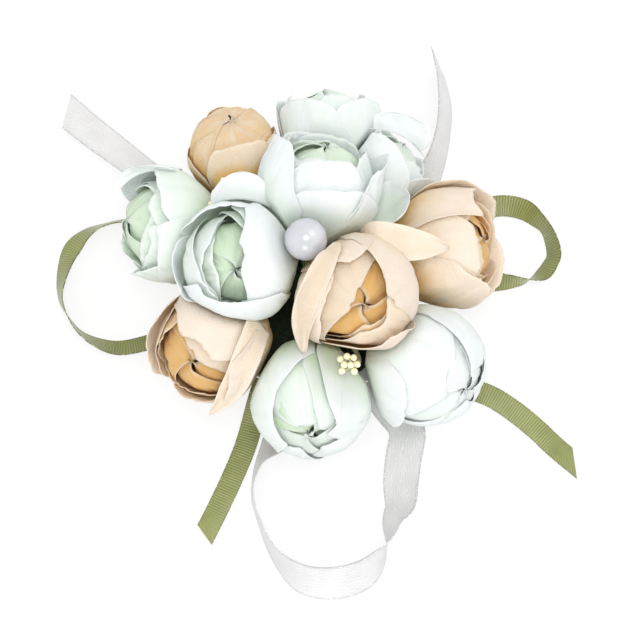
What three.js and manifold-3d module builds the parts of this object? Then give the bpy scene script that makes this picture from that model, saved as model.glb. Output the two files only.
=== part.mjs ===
// Wrist corsage: eleven fabric bud heads, a pearl and stamens on a small felt pad, with a green bow,
// white tails and a white wrist loop of satin ribbon.
// Millimetres, +Z up. The origin is the middle of the pad's underside, and +Y is the top of the
// cluster as it is worn, so the wrist loop leaves the pad towards -Y.

import * as THREE from 'three';
import { mergeVertices } from 'three/addons/utils/BufferGeometryUtils.js';
import Module from 'manifold-3d';

const wasm = await Module();
wasm.setup();

// Driving dimensions
const padRadius = 26.5;
const feltThickness = 1.5;
const clearance = 0.3; // between pieces that touch
const ribbonThickness = 0.5;
const whiteRibbonWidth = 10;
const greenRibbonWidth = 6;

const budRadius = 16; // of a full size bud head, at its widest
const petalThickness = 0.8;
const petalSpacing = 0.9; // between the whorls where a neighbour presses them together
const ringRadius = 40; // from the middle of the pad to the lower bud heads
const ringHeight = 18.5;
const crownRadius = 19; // and to the three upper ones
const crownHeight = 33;

const stemRadius = 0.8;
const pinRadius = 1.1; // the calyx's pin, which the petals are threaded on
const calyxRadius = 3;
const calyxHeight = 1.6;
const hubRadius = 5.5; // the taped stem bundle
const hubHeight = 9.3;
const hubShoulder = 1.6;
const lowStemHeight = 2.2; // above the bundle's foot, where the lower stems run in
const stemStagger = 2.9; // between neighbouring stems
const crownStemHeight = 7.4;

const pearlRadius = 5.6;
const pearlHeight = 42;
const pearlAcross = 0.5; // from the middle of the pad, to the left
const pearlAlong = 3.7; // and towards the top
const wireRadius = 0.5;
const stamenRadius = 1.05;
const threadRadius = 0.35;
const stalkRadius = 0.7;

const greenLoopReach = 41; // each from the pad's edge to the far end
const rightLoopReach = 41.7;
const wristLoopReach = 53.2;
const leftTailReach = 62.5;
const rightTailReach = 50;
const lowLeftTailReach = 46.8;
const lowRightTailReach = 62.3;

// Heights of the layers of the pad
const underTop = feltThickness;
const whiteBase = underTop + clearance;
const greenBase = whiteBase + ribbonThickness + clearance;
const overBase = greenBase + ribbonThickness + clearance;
const padTop = overBase + feltThickness;
const seat = padTop + clearance; // nothing above the pad comes lower
const hingeReach = padRadius + 3 * clearance; // from the middle to each ribbon's flex line

// Bud heads. Bearings are degrees from +X, turns are degrees round the bud's axis from its upper
// side, clockwise as seen from above the cluster. A petal is its turn, half width and rim angle
// from the axis, in degrees, and the share by which its rim flares outwards.
const buds = [
  {
    name: 'mint_left', tint: 'mint', ring: 'low', bearing: 159.6, placeShare: 1.03, heightShare: 1,
    sizeShare: 1, leanBearing: 178, tilt: 66, innerTurn: 40,
    petalShares: [[10, 70, 44, 0.02], [96, 58, 58, 0.1], [185, 60, 60, 0.08], [272, 62, 50, 0.1]],
  },
  {
    name: 'peach_back_left', tint: 'peach', ring: 'low', bearing: 119.3, placeShare: 1.03,
    heightShare: 1, sizeShare: 0.93, leanBearing: 104, tilt: 54, innerTurn: 20,
    petalShares: [[-25, 66, 44, 0.03], [70, 56, 52, 0.1], [160, 60, 62, 0.12], [245, 60, 54, 0.06]],
  },
  {
    name: 'mint_front_left', tint: 'mint', ring: 'crown', bearing: 179.6, placeShare: 0.97,
    heightShare: 1, sizeShare: 1.03, leanBearing: -140, tilt: 18, innerTurn: 70,
    petalShares: [[-35, 66, 36, 0.03], [58, 56, 44, 0.06], [138, 52, 52, 0.1], [222, 62, 58, 0.16]],
  },
  {
    name: 'mint_crown', tint: 'mint', ring: 'crown', bearing: 82.8, placeShare: 1.13,
    heightShare: 1, sizeShare: 1.03, leanBearing: 75, tilt: 48, innerTurn: 30,
    petalShares: [[-12, 64, 48, 0.14], [74, 50, 58, 0.16], [165, 60, 52, 0.06], [262, 58, 48, 0.06]],
  },
  {
    name: 'mint_back', tint: 'mint', ring: 'low', bearing: 83.2, placeShare: 1.06, heightShare: 0.99,
    sizeShare: 0.94, leanBearing: 92, tilt: 70, innerTurn: 10,
    petalShares: [[-30, 60, 50, 0.06], [50, 58, 52, 0.1], [150, 60, 60, 0.08], [245, 60, 54, 0.1]],
  },
  {
    name: 'mint_back_right', tint: 'mint', ring: 'low', bearing: 57.5, placeShare: 0.93,
    heightShare: 0.92, sizeShare: 0.8, leanBearing: 44, tilt: 66, innerTurn: 50,
    petalShares: [[0, 66, 48, 0.05], [90, 58, 56, 0.08], [180, 60, 60, 0.06], [270, 60, 52, 0.08]],
  },
  {
    name: 'peach_right', tint: 'peach', ring: 'low', bearing: 13.1, placeShare: 0.96,
    heightShare: 1, sizeShare: 1.01, leanBearing: 2, tilt: 60, innerTurn: 60,
    petalShares: [[-20, 66, 46, 0.04], [72, 58, 54, 0.1], [165, 60, 60, 0.08], [258, 58, 50, 0.08]],
  },
  {
    name: 'peach_front', tint: 'peach', ring: 'crown', bearing: -36.8, placeShare: 0.84,
    heightShare: 1.03, sizeShare: 1.05, leanBearing: -58, tilt: 27, innerTurn: 20,
    petalShares: [[45, 62, 40, 0.1], [135, 56, 56, 0.12], [215, 54, 52, 0.08], [-52, 64, 40, 0.14]],
  },
  {
    name: 'peach_low_left', tint: 'peach', ring: 'low', bearing: -143.7, placeShare: 0.8,
    heightShare: 1.05, sizeShare: 1.02, leanBearing: -126, tilt: 50, innerTurn: 80,
    petalShares: [[10, 66, 44, 0.03], [104, 58, 50, 0.06], [190, 56, 58, 0.08], [-68, 60, 40, 0.12]],
  },
  {
    name: 'mint_low_front', tint: 'mint', ring: 'low', bearing: -88.6, placeShare: 0.83,
    heightShare: 1, sizeShare: 1.02, leanBearing: -93, tilt: 56, innerTurn: 10,
    petalShares: [[58, 56, 42, 0.08], [-34, 62, 46, 0.05], [145, 58, 58, 0.08], [232, 58, 56, 0.1]],
  },
  {
    name: 'mint_low_right', tint: 'mint', ring: 'low', bearing: -38.2, placeShare: 0.99,
    heightShare: 1, sizeShare: 1.03, leanBearing: -38, tilt: 60, innerTurn: 45,
    petalShares: [[82, 56, 40, 0.12], [-2, 60, 46, 0.04], [-88, 58, 52, 0.1], [180, 60, 60, 0.08]],
  },
];

const whorls = {
  outer: { radiusShare: 1, depth: 0, columns: 22, rows: 5, liftShare: 0.03 },
  inner: { radiusShare: 0.83, depth: petalThickness + petalSpacing, columns: 16, rows: 4, liftShare: 0.03 },
};
const innerPetals = 3;
const innerHalfWidth = 78;
const innerRim = 40;
const innerRimStep = 4; // from each inner petal to the next
const notchAngle = 58; // how far the rim falls from a petal's middle to its side
const lobePower = 2.6;
const lowestRim = 104;
const heartShare = 0.44; // the centre bud's radius, of the bud head's
const heartDepth = 2 * (petalThickness + petalSpacing); // inside the face of the outer whorl
const heartColumns = 8;
const heartRows = 4;
const softShare = 0.84; // of the free distance, where petals begin to be pressed back

// Stamens: each cluster is a stalk from the bundle through the points given, with its beads above.
// The points are shares of the ring's radius, from the middle of the pad's underside.
const stamenClusters = [
  {
    name: 'stamens_back_left',
    stalkShares: [
      [-0.13, 0.125, 0.285], [-0.338, 0.325, 0.35], [-0.475, 0.455, 0.575], [-0.51, 0.485, 0.7],
    ],
    beadShares: [
      [-0.56, 0.56, 0.84], [-0.615, 0.485, 0.83], [-0.64, 0.415, 0.8], [-0.515, 0.515, 0.875],
      [-0.425, 0.435, 0.865],
    ],
  },
  {
    name: 'stamens_front',
    stalkShares: [
      [0.085, -0.16, 0.285], [0.27, -0.4, 0.315], [0.34, -0.575, 0.475], [0.305, -0.64, 0.6],
    ],
    beadShares: [
      [0.2, -0.625, 0.735], [0.255, -0.61, 0.765], [0.31, -0.62, 0.76], [0.34, -0.67, 0.735],
      [0.23, -0.68, 0.76], [0.285, -0.685, 0.77], [0.21, -0.725, 0.725], [0.315, -0.73, 0.73],
    ],
  },
];
const stalkSamples = 6; // along a stalk, where it keeps the petals off

// Ribbons. A row is a point's distance out from the flex line and its distance to the left of the
// ribbon's bearing, as shares of the reach, and the lean in degrees: 90 lies flat, 0 stands on edge.
const ribbons = [
  {
    name: 'green_loop_left', colour: 'green', bearing: 180, reach: greenLoopReach, steps: 34,
    routeShares: [[0, -0.24, 90], [0.195, -0.32, 84], [0.39, -0.45, 62], [0.563, -0.51, 28],
      [0.727, -0.48, 24], [0.84, -0.424, 42], [0.927, -0.332, 62], [0.975, -0.21, 46], [1, -0.06, 27],
      [0.995, 0.046, 12],
      [0.96, 0.132, 0], [0.868, 0.263, -16], [0.734, 0.344, -38], [0.6, 0.373, -53], [0.39, 0.332, -60],
      [0.195, 0.271, -82], [0, 0.21, -90]],
  },
  {
    name: 'green_loop_right', colour: 'green', bearing: 14, reach: rightLoopReach, steps: 34,
    routeShares: [[0, 0.16, 90], [0.2, 0.2, 90], [0.4, 0.25, 88], [0.566, 0.288, 84], [0.741, 0.294, 80],
      [0.88, 0.226, 60], [0.952, 0.125, 30], [0.985, 0.062, 20], [1, -0.031, 27], [0.99, -0.14, 37],
      [0.95, -0.194, 44], [0.88, -0.25, 44], [0.763, -0.268, 4], [0.66, -0.247, -24], [0.56, -0.218, -46],
      [0.44, -0.187, -56], [0.22, -0.15, -80], [0, -0.113, -90]],
  },
  {
    name: 'wrist_loop', colour: 'white', bearing: -80, reach: wristLoopReach, steps: 44,
    routeShares: [[0, 0.244, 90], [0.13, 0.305, 88], [0.276, 0.374, 84], [0.42, 0.33, 74], [0.536, 0.295, 62],
      [0.664, 0.265, 52], [0.733, 0.216, 30], [0.846, 0.173, 5], [0.927, 0.103, -22], [0.985, 0.015, -42],
      [1, -0.13, -49], [0.953, -0.284, -41], [0.818, -0.398, -20], [0.64, -0.449, -9], [0.502, -0.462, -9],
      [0.41, -0.44, -12], [0.327, -0.396, -18], [0.256, -0.324, -44], [0.178, -0.252, -76],
      [0.094, -0.186, -88], [0, -0.15, -90]],
  },
  {
    name: 'white_tail_left', colour: 'white', bearing: 140, reach: leftTailReach, steps: 18,
    routeShares: [[0, -0.02, 90], [0.14, -0.02, 88], [0.32, 0.018, 72], [0.48, 0.038, 46], [0.59, 0.04, 47],
      [0.7, 0.043, 49], [0.82, 0.045, 50], [0.94, 0.043, 53], [1, 0.042, 55]],
  },
  {
    name: 'white_tail_right', colour: 'white', bearing: 50, reach: rightTailReach, steps: 20,
    routeShares: [[0, -0.06, 90], [0.14, -0.08, 88], [0.27, -0.09, 76], [0.38, -0.085, 54], [0.51, -0.05, 32],
      [0.65, 0.02, 24], [0.78, 0.112, 24], [0.89, 0.228, 18], [0.985, 0.36, 12]],
  },
  {
    name: 'green_tail_left', colour: 'green', bearing: -112, reach: lowLeftTailReach, steps: 14,
    routeShares: [[0, -0.04, 90], [0.2, -0.02, 90], [0.4, 0.002, 88], [0.6, 0.003, 86],
      [0.8, -0.006, 90], [1, -0.02, 90]],
  },
  {
    name: 'green_tail_right', colour: 'green', bearing: -32, reach: lowRightTailReach, steps: 16,
    routeShares: [[0, 0.006, 90], [0.18, 0.01, 90], [0.35, 0.013, 90], [0.49, 0.035, 84], [0.6, 0.032, 84],
      [0.72, 0.016, 88], [0.85, -0.012, 90], [1, -0.035, 90]],
  },
];
const whiteDropStart = 1; // past the flex line, where a ribbon begins to sink to the table
const greenDropStart = 4;
const dropLength = 9;

const radians = THREE.MathUtils.degToRad;
const zAxis = new THREE.Vector3(0, 0, 1);

function heading(bearing, tilt = 90) {
  const out = Math.sin(radians(tilt));
  const [turn, up] = [radians(bearing), Math.cos(radians(tilt))];
  return new THREE.Vector3(out * Math.cos(turn), out * Math.sin(turn), up);
}

function solidOf(geometry) {
  const bare = geometry.index ? geometry.clone() : geometry;
  bare.deleteAttribute('normal');
  bare.deleteAttribute('uv');
  const merged = mergeVertices(bare);
  return new wasm.Manifold(new wasm.Mesh({
    numProp: 3,
    vertProperties: new Float32Array(merged.attributes.position.array),
    triVerts: new Uint32Array(merged.index.array),
  }));
}

function geometryOf(solid) {
  const mesh = solid.getMesh();
  const geometry = new THREE.BufferGeometry();
  geometry.setAttribute('position', new THREE.BufferAttribute(mesh.vertProperties, 3));
  geometry.setIndex(new THREE.BufferAttribute(mesh.triVerts, 1));
  return geometry;
}

function joined(geometries) {
  return geometryOf(geometries.map(solidOf).reduce((whole, piece) => whole.add(piece)));
}

// Colours and finishes
const finishes = {
  mintPetal: { color: '#e6f4ec', roughness: 0.85 },
  mintInside: { color: '#c9ecca', roughness: 0.85 },
  peachPetal: { color: '#f8dfc6', roughness: 0.85 },
  peachInside: { color: '#f2b878', roughness: 0.85 },
  stem: { color: '#4f6a36', roughness: 0.5 },
  tape: { color: '#26331f', roughness: 0.8 },
  felt: { color: '#2b3327', roughness: 1 },
  green: { color: '#8d9152', roughness: 0.45 },
  white: { color: '#ebe9e2', roughness: 0.4 },
  pearl: { color: '#f2eff0', roughness: 0.2 },
  stamen: { color: '#f1e8bd', roughness: 0.7 },
  wire: { color: '#9aa57c', roughness: 0.5 },
};

const corsage = new THREE.Group();

function addPiece(name, geometry, finish) {
  const material = new THREE.MeshStandardMaterial({ metalness: 0, ...finishes[finish] });
  const mesh = new THREE.Mesh(geometry, material);
  mesh.name = name;
  mesh.geometry.computeVertexNormals();
  corsage.add(mesh);
  return mesh;
}

// Bud heads: where each one is, and the walls that its neighbours press it against
for (const bud of buds) {
  const [place, height] = bud.ring === 'low' ? [ringRadius, ringHeight] : [crownRadius, crownHeight];
  bud.radius = budRadius * bud.sizeShare;
  bud.centre = heading(bud.bearing).multiplyScalar(place * bud.placeShare).setZ(height * bud.heightShare);
  bud.axis = heading(bud.leanBearing, bud.tilt);
  bud.upper = zAxis.clone().addScaledVector(bud.axis, -bud.axis.z).normalize();
  bud.side = bud.axis.clone().cross(bud.upper);
}

const pearlCentre = new THREE.Vector3(-pearlAcross, pearlAlong, pearlHeight);
const hubTop = seat + hubHeight;

function stamenPoint(shares) {
  return new THREE.Vector3(...shares).multiplyScalar(ringRadius);
}

function stalkCurve(cluster) {
  return new THREE.CatmullRomCurve3(cluster.stalkShares.map(stamenPoint));
}

const obstacles = [{ centre: pearlCentre, radius: pearlRadius }];
for (const cluster of stamenClusters) {
  for (const centre of stalkCurve(cluster).getPoints(stalkSamples)) {
    obstacles.push({ centre, radius: stalkRadius });
  }
  for (const shares of cluster.beadShares) {
    obstacles.push({ centre: stamenPoint(shares), radius: stamenRadius });
  }
}

for (const bud of buds) {
  bud.walls = [{ normal: zAxis.clone().negate(), distance: bud.centre.z - seat - clearance }];
  for (const other of buds.filter((candidate) => candidate !== bud)) {
    const between = other.centre.clone().sub(bud.centre);
    const length = between.length();
    const distance = (length ** 2 + bud.radius ** 2 - other.radius ** 2) / (2 * length) - clearance / 2;
    bud.walls.push({ normal: between.divideScalar(length), distance });
  }
  for (const obstacle of obstacles) {
    const between = obstacle.centre.clone().sub(bud.centre);
    const length = between.length();
    bud.walls.push({ normal: between.divideScalar(length), distance: length - obstacle.radius - clearance });
  }
  const toWire = pearlCentre.clone().sub(bud.centre).setZ(0);
  bud.walls.push({ normal: toWire.clone().normalize(), distance: toWire.length() - wireRadius - clearance });
}

// The distance that a petal at this depth may reach in a direction, pressed back by the walls
function pressed(bud, direction, radius, depth) {
  let free = Infinity;
  for (const wall of bud.walls) {
    const toward = direction.dot(wall.normal);
    if (toward > 0) free = Math.min(free, wall.distance / toward);
  }
  free -= depth;
  const ratio = radius / free;
  if (ratio <= softShare) return radius;
  const spare = 1 - softShare;
  return free * (softShare + spare * Math.tanh((ratio - softShare) / spare));
}

function directionAt(bud, polar, turn) {
  return bud.axis.clone().multiplyScalar(Math.cos(polar))
    .addScaledVector(bud.upper, Math.sin(polar) * Math.cos(turn))
    .addScaledVector(bud.side, Math.sin(polar) * Math.sin(turn));
}

// The petal that stands highest at a turn, with the rim there and the place across that petal
function crestAt(petalShares, turn) {
  let crest = { rim: radians(lowestRim), across: 0, flareShare: 0 };
  for (const [middle, halfWidth, rim, flareShare] of petalShares) {
    const offset = THREE.MathUtils.euclideanModulo(turn - radians(middle) + Math.PI, 2 * Math.PI) - Math.PI;
    const across = offset / radians(halfWidth);
    const here = radians(rim + notchAngle * Math.abs(across) ** lobePower);
    if (here < crest.rim) crest = { rim: here, across, flareShare };
  }
  return crest;
}

// One whorl of petals, cut from one piece: a closed cup with a hole at its base for the pin
function whorlGeometry(bud, whorl, petalShares) {
  const { radiusShare, depth, columns, rows, liftShare } = whorl;
  const hole = pinRadius + clearance;
  const positions = [];
  for (let column = 0; column < columns; column++) {
    const turn = (2 * Math.PI * column) / columns;
    const crest = crestAt(petalShares, turn);
    const outside = [];
    const inside = [];
    for (let row = 0; row <= rows; row++) {
      const rise = row / rows;
      const lean = liftShare * THREE.MathUtils.clamp(crest.across, -1, 1);
      const lift = lean * THREE.MathUtils.smoothstep(rise, 0, 0.5);
      const full = bud.radius * radiusShare * (1 + lift);
      const outer = full * (1 + crest.flareShare * rise ** 4);
      for (const [wall, inset] of [[outside, 0], [inside, petalThickness]]) {
        let radius = outer - inset;
        const base = pressed(bud, bud.axis.clone().negate(), radius, depth + inset);
        const foot = Math.PI - Math.asin(hole / base);
        const polar = THREE.MathUtils.lerp(foot, crest.rim, rise);
        const direction = directionAt(bud, polar, turn);
        radius = pressed(bud, direction, radius, depth + inset);
        if (row === 0) radius = Math.max(radius, hole / Math.sin(polar));
        wall.push(direction.multiplyScalar(radius).add(bud.centre));
      }
    }
    for (const point of [...outside, ...inside.reverse()]) positions.push(point.x, point.y, point.z);
  }
  const around = 2 * (rows + 1);
  const index = [];
  for (let column = 0; column < columns; column++) {
    const next = (column + 1) % columns;
    for (let step = 0; step < around; step++) {
      const after = (step + 1) % around;
      const [a, b] = [column * around + step, next * around + step];
      const [c, d] = [next * around + after, column * around + after];
      index.push(a, b, c, a, c, d);
    }
  }
  const geometry = new THREE.BufferGeometry();
  geometry.setAttribute('position', new THREE.Float32BufferAttribute(positions, 3));
  geometry.setIndex(index);
  return geometry;
}

// The tight centre bud, which sits on the pin
function heartGeometry(bud) {
  const positions = [];
  const index = [];
  for (let row = 0; row <= heartRows; row++) {
    const polar = (Math.PI * row) / heartRows;
    for (let column = 0; column < heartColumns; column++) {
      const direction = directionAt(bud, polar, (2 * Math.PI * column) / heartColumns);
      const radius = pressed(bud, direction, bud.radius * heartShare, heartDepth);
      const point = direction.multiplyScalar(radius).add(bud.centre);
      positions.push(point.x, point.y, point.z);
    }
  }
  for (let row = 0; row < heartRows; row++) {
    for (let column = 0; column < heartColumns; column++) {
      const next = (column + 1) % heartColumns;
      const [a, b] = [row * heartColumns + column, row * heartColumns + next];
      const [c, d] = [a + heartColumns, b + heartColumns];
      if (row > 0) index.push(a, c, b);
      if (row < heartRows - 1) index.push(b, c, d);
    }
  }
  const geometry = new THREE.BufferGeometry();
  geometry.setAttribute('position', new THREE.Float32BufferAttribute(positions, 3));
  geometry.setIndex(index);
  return mergeVertices(geometry);
}

function disc(radius, sides) {
  return new THREE.Shape(Array.from({ length: sides }, (_, side) => {
    const turn = (2 * Math.PI * side) / sides;
    return new THREE.Vector2(radius * Math.cos(turn), radius * Math.sin(turn));
  }));
}

function tube(points, radius, sides, steps) {
  const path = new THREE.CatmullRomCurve3(points);
  return new THREE.ExtrudeGeometry(disc(radius, sides), { steps, extrudePath: path, bevelEnabled: false });
}

// The taped bundle, grown by a margin where it cuts what runs into it
function bundleGeometry(margin) {
  const [radius, height] = [hubRadius + margin, hubHeight + margin];
  const profile = [
    [0, -margin], [radius, -margin], [radius, height - hubShoulder],
    [radius - hubShoulder, height], [0, height],
  ].map(([out, up]) => new THREE.Vector2(out, up));
  const bundle = new THREE.LatheGeometry(profile, 20);
  bundle.rotateX(Math.PI / 2);
  bundle.translate(0, 0, seat);
  return bundle;
}

// The calyx with its pin, on a stem that bends into the taped bundle
function calyxGeometry(bud) {
  const behind = bud.axis.clone().negate();
  const petalFoot = pressed(bud, behind, bud.radius, 0);
  const heartFoot = pressed(bud, behind, bud.radius * heartShare, heartDepth);
  const cupRim = Math.sqrt(petalFoot ** 2 - calyxRadius ** 2);
  const foot = petalFoot + clearance + calyxHeight;
  const profile = [
    [0, -foot], [stemRadius * 2, -foot],
    [calyxRadius, -cupRim - clearance * 2], [calyxRadius - clearance, -cupRim - clearance],
    [pinRadius, -petalFoot - clearance], [pinRadius, -heartFoot - clearance], [0, -heartFoot - clearance],
  ].map(([out, up]) => new THREE.Vector2(out, up));
  const cup = new THREE.LatheGeometry(profile, 8);
  cup.applyQuaternion(new THREE.Quaternion().setFromUnitVectors(new THREE.Vector3(0, 1, 0), bud.axis));
  cup.translate(bud.centre.x, bud.centre.y, bud.centre.z);
  const start = bud.centre.clone().addScaledVector(behind, foot - calyxHeight / 2);
  const stagger = (buds.indexOf(bud) % 2) * stemStagger;
  const rise = bud.ring === 'low' ? lowStemHeight + stagger : crownStemHeight;
  const end = new THREE.Vector3(0, 0, seat + rise);
  const bend = start.clone().addScaledVector(behind, calyxHeight * 2);
  bend.z = Math.max(bend.z, end.z);
  const stem = tube([start, bend, end.clone().lerp(bend, 0.5), end], stemRadius, 6, 8);
  const whole = solidOf(cup).add(solidOf(stem)).subtract(solidOf(bundleGeometry(clearance)));
  return geometryOf(whole);
}

for (const bud of buds) {
  const inner = Array.from({ length: innerPetals }, (_, petal) => [
    bud.innerTurn + (360 * petal) / innerPetals, innerHalfWidth, innerRim + innerRimStep * petal, 0,
  ]);
  const tint = bud.tint;
  addPiece(`${bud.name}_outer_petals`, whorlGeometry(bud, whorls.outer, bud.petalShares), `${tint}Petal`);
  addPiece(`${bud.name}_inner_petals`, whorlGeometry(bud, whorls.inner, inner), `${tint}Inside`);
  addPiece(`${bud.name}_centre_bud`, heartGeometry(bud), `${tint}Inside`);
  addPiece(`${bud.name}_calyx`, calyxGeometry(bud), 'stem');
}

// Pearl on its wire
const pearl = new THREE.SphereGeometry(pearlRadius, 16, 10);
pearl.translate(pearlCentre.x, pearlCentre.y, pearlCentre.z);
addPiece('pearl', pearl, 'pearl');
const wirePoints = [
  pearlCentre.clone().setZ(pearlHeight - pearlRadius - clearance),
  new THREE.Vector3(0, 0, hubTop + clearance),
];
addPiece('pearl_wire', tube(wirePoints, wireRadius, 8, 4), 'wire');

// Stamens
for (const cluster of stamenClusters) {
  const curve = stalkCurve(cluster);
  const sweep = { steps: 10, extrudePath: curve, bevelEnabled: false };
  const stalk = new THREE.ExtrudeGeometry(disc(stalkRadius, 6), sweep);
  const fork = curve.getPoint(1);
  const below = curve.getPoint(0.9);
  const pieces = [stalk];
  for (const shares of cluster.beadShares) {
    const centre = stamenPoint(shares);
    const bead = new THREE.SphereGeometry(stamenRadius, 6, 3);
    bead.translate(centre.x, centre.y, centre.z);
    pieces.push(tube([below, fork.clone().lerp(centre, 0.5), centre], threadRadius, 3, 2), bead);
  }
  addPiece(cluster.name, joined(pieces), 'stamen');
}

// Pad: two felt discs, with the middles of both ribbons between them, and the stem bundle on top
function plate(radius, base, thickness) {
  const geometry = new THREE.CylinderGeometry(radius, radius, thickness, 36);
  geometry.rotateX(Math.PI / 2);
  geometry.translate(0, 0, base + thickness / 2);
  return geometry;
}

addPiece('felt_underside', plate(padRadius, 0, feltThickness), 'felt');
addPiece('felt_top', plate(padRadius, overBase, feltThickness), 'felt');

addPiece('stem_bundle', bundleGeometry(0), 'tape');

// Ribbons
function ribbonSize(ribbon) {
  const white = ribbon.colour === 'white';
  return {
    width: white ? whiteRibbonWidth : greenRibbonWidth,
    rootHeight: (white ? whiteBase : greenBase) + ribbonThickness / 2,
    dropStart: white ? whiteDropStart : greenDropStart,
  };
}

function isLoop(ribbon) {
  return ribbon.name.includes('loop');
}

function ribbonPlace(ribbon, outShare, leftShare) {
  const out = heading(ribbon.bearing);
  const left = zAxis.clone().cross(out);
  out.multiplyScalar(hingeReach + outShare * ribbon.reach);
  return out.addScaledVector(left, leftShare * ribbon.reach);
}

// A flat band along the route, which lies on the table or stands there on its lower edge
function ribbonGeometry(ribbon) {
  const { width, rootHeight, dropStart } = ribbonSize(ribbon);
  const rows = ribbon.routeShares;
  const places = rows.map(([out, left]) => ribbonPlace(ribbon, out, left));
  const plan = new THREE.CatmullRomCurve3(places, false, 'centripetal');
  const out = heading(ribbon.bearing);
  const left = zAxis.clone().cross(out);
  const positions = [];
  for (let step = 0; step <= ribbon.steps; step++) {
    const along = step / ribbon.steps;
    const spot = plan.getPoint(along);
    const tangent = plan.getTangent(along);
    const row = Math.min(Math.floor(along * (rows.length - 1)), rows.length - 2);
    const part = THREE.MathUtils.smoothstep(along * (rows.length - 1) - row, 0, 1);
    const lean = radians(THREE.MathUtils.lerp(rows[row][2], rows[row + 1][2], part));
    const across = zAxis.clone().cross(tangent).multiplyScalar(Math.sin(lean));
    across.addScaledVector(zAxis, Math.cos(lean));
    const face = tangent.clone().cross(across);
    const flexed = step === 0 || (step === ribbon.steps && isLoop(ribbon));
    if (flexed) {
      across.copy(left).multiplyScalar(Math.sign(across.dot(left)) / Math.abs(tangent.dot(out)));
    }
    const standing = (Math.abs(across.z) * width + Math.abs(face.z) * ribbonThickness) / 2;
    const past = spot.dot(out) - hingeReach;
    const sunk = THREE.MathUtils.smoothstep(past, dropStart, dropStart + dropLength);
    spot.z = THREE.MathUtils.lerp(Math.max(rootHeight, standing), standing, sunk);
    for (const [wide, thick] of [[-1, -1], [1, -1], [1, 1], [-1, 1]]) {
      const corner = spot.clone().addScaledVector(across, (wide * width) / 2);
      corner.addScaledVector(face, (thick * ribbonThickness) / 2);
      positions.push(corner.x, corner.y, corner.z);
    }
  }
  const index = [0, 2, 1, 0, 3, 2];
  for (let step = 0; step < ribbon.steps; step++) {
    for (let corner = 0; corner < 4; corner++) {
      const [a, b] = [step * 4 + corner, step * 4 + ((corner + 1) % 4)];
      index.push(a, b + 4, a + 4, a, b, b + 4);
    }
  }
  const last = ribbon.steps * 4;
  index.push(last, last + 1, last + 2, last, last + 2, last + 3);
  const geometry = new THREE.BufferGeometry();
  geometry.setAttribute('position', new THREE.Float32BufferAttribute(positions, 3));
  geometry.setIndex(index);
  return geometry;
}

for (const ribbon of ribbons) addPiece(ribbon.name, ribbonGeometry(ribbon), ribbon.colour);

// The middle of each ribbon: flat strips that radiate from the middle of the pad to the flex lines
function ribbonMiddle(colour) {
  const strips = [];
  for (const ribbon of ribbons.filter((candidate) => candidate.colour === colour)) {
    const { width, rootHeight } = ribbonSize(ribbon);
    const rows = ribbon.routeShares;
    const flexLine = zAxis.clone().cross(heading(ribbon.bearing));
    for (const [out, left] of isLoop(ribbon) ? [rows[0], rows[rows.length - 1]] : [rows[0]]) {
      const root = ribbonPlace(ribbon, out, left).addScaledVector(heading(ribbon.bearing), -clearance);
      const along = root.clone().normalize();
      const side = zAxis.clone().cross(along);
      const wide = flexLine.clone().divideScalar(flexLine.dot(side));
      const back = along.multiplyScalar(-width / 2);
      const corners = [
        back.clone().addScaledVector(side, -width / 2), root.clone().addScaledVector(wide, -width / 2),
        root.clone().addScaledVector(wide, width / 2), back.clone().addScaledVector(side, width / 2),
      ];
      const outline = new THREE.Shape(corners.map((corner) => new THREE.Vector2(corner.x, corner.y)));
      const strip = new THREE.ExtrudeGeometry(outline, { depth: ribbonThickness, bevelEnabled: false });
      strips.push(strip.translate(0, 0, rootHeight - ribbonThickness / 2));
    }
  }
  return joined(strips);
}

addPiece('white_ribbon_middle', ribbonMiddle('white'), 'white');
addPiece('green_ribbon_middle', ribbonMiddle('green'), 'green');

export default corsage;
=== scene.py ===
# Wrist corsage: fabric bud heads, pearl, stamens and ribbons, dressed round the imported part.
# Metres, in the part's own frame. Sizes in the dictionaries are millimetres, angles are degrees.

import math
import random

import bpy
import numpy as np
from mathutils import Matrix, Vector, noise


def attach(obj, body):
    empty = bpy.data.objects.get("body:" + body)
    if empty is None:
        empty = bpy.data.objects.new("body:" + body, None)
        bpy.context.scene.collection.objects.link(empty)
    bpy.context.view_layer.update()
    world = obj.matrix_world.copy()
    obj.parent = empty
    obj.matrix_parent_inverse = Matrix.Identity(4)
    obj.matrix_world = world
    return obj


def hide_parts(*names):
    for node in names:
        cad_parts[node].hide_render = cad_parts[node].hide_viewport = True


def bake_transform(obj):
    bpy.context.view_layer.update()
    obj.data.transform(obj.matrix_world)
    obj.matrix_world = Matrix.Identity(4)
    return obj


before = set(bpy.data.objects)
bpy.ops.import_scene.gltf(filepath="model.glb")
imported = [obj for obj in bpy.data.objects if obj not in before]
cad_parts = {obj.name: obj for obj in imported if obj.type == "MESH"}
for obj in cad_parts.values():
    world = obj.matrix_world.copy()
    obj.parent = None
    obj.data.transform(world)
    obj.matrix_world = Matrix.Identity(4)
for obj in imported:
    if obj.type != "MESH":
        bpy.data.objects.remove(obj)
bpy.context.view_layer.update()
mm = 0.001
random.seed(11)


# Camera

camera = {"place": (0.0032, -0.1791, 0.6429), "tilt": 15.0, "lens": 135.4, "sensor": 36, "near": 0.02}

bpy.ops.object.select_all(action="DESELECT")
bpy.ops.object.camera_add(location=camera["place"], rotation=(math.radians(camera["tilt"]), 0, 0))
eye = bpy.context.object
eye.name = "camera"
eye.data.lens = camera["lens"]
eye.data.sensor_width = camera["sensor"]
eye.data.clip_start = camera["near"]
bpy.context.scene.camera = eye
bpy.context.scene.view_settings.view_transform = "Standard"


# Small helpers for meshes

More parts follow.
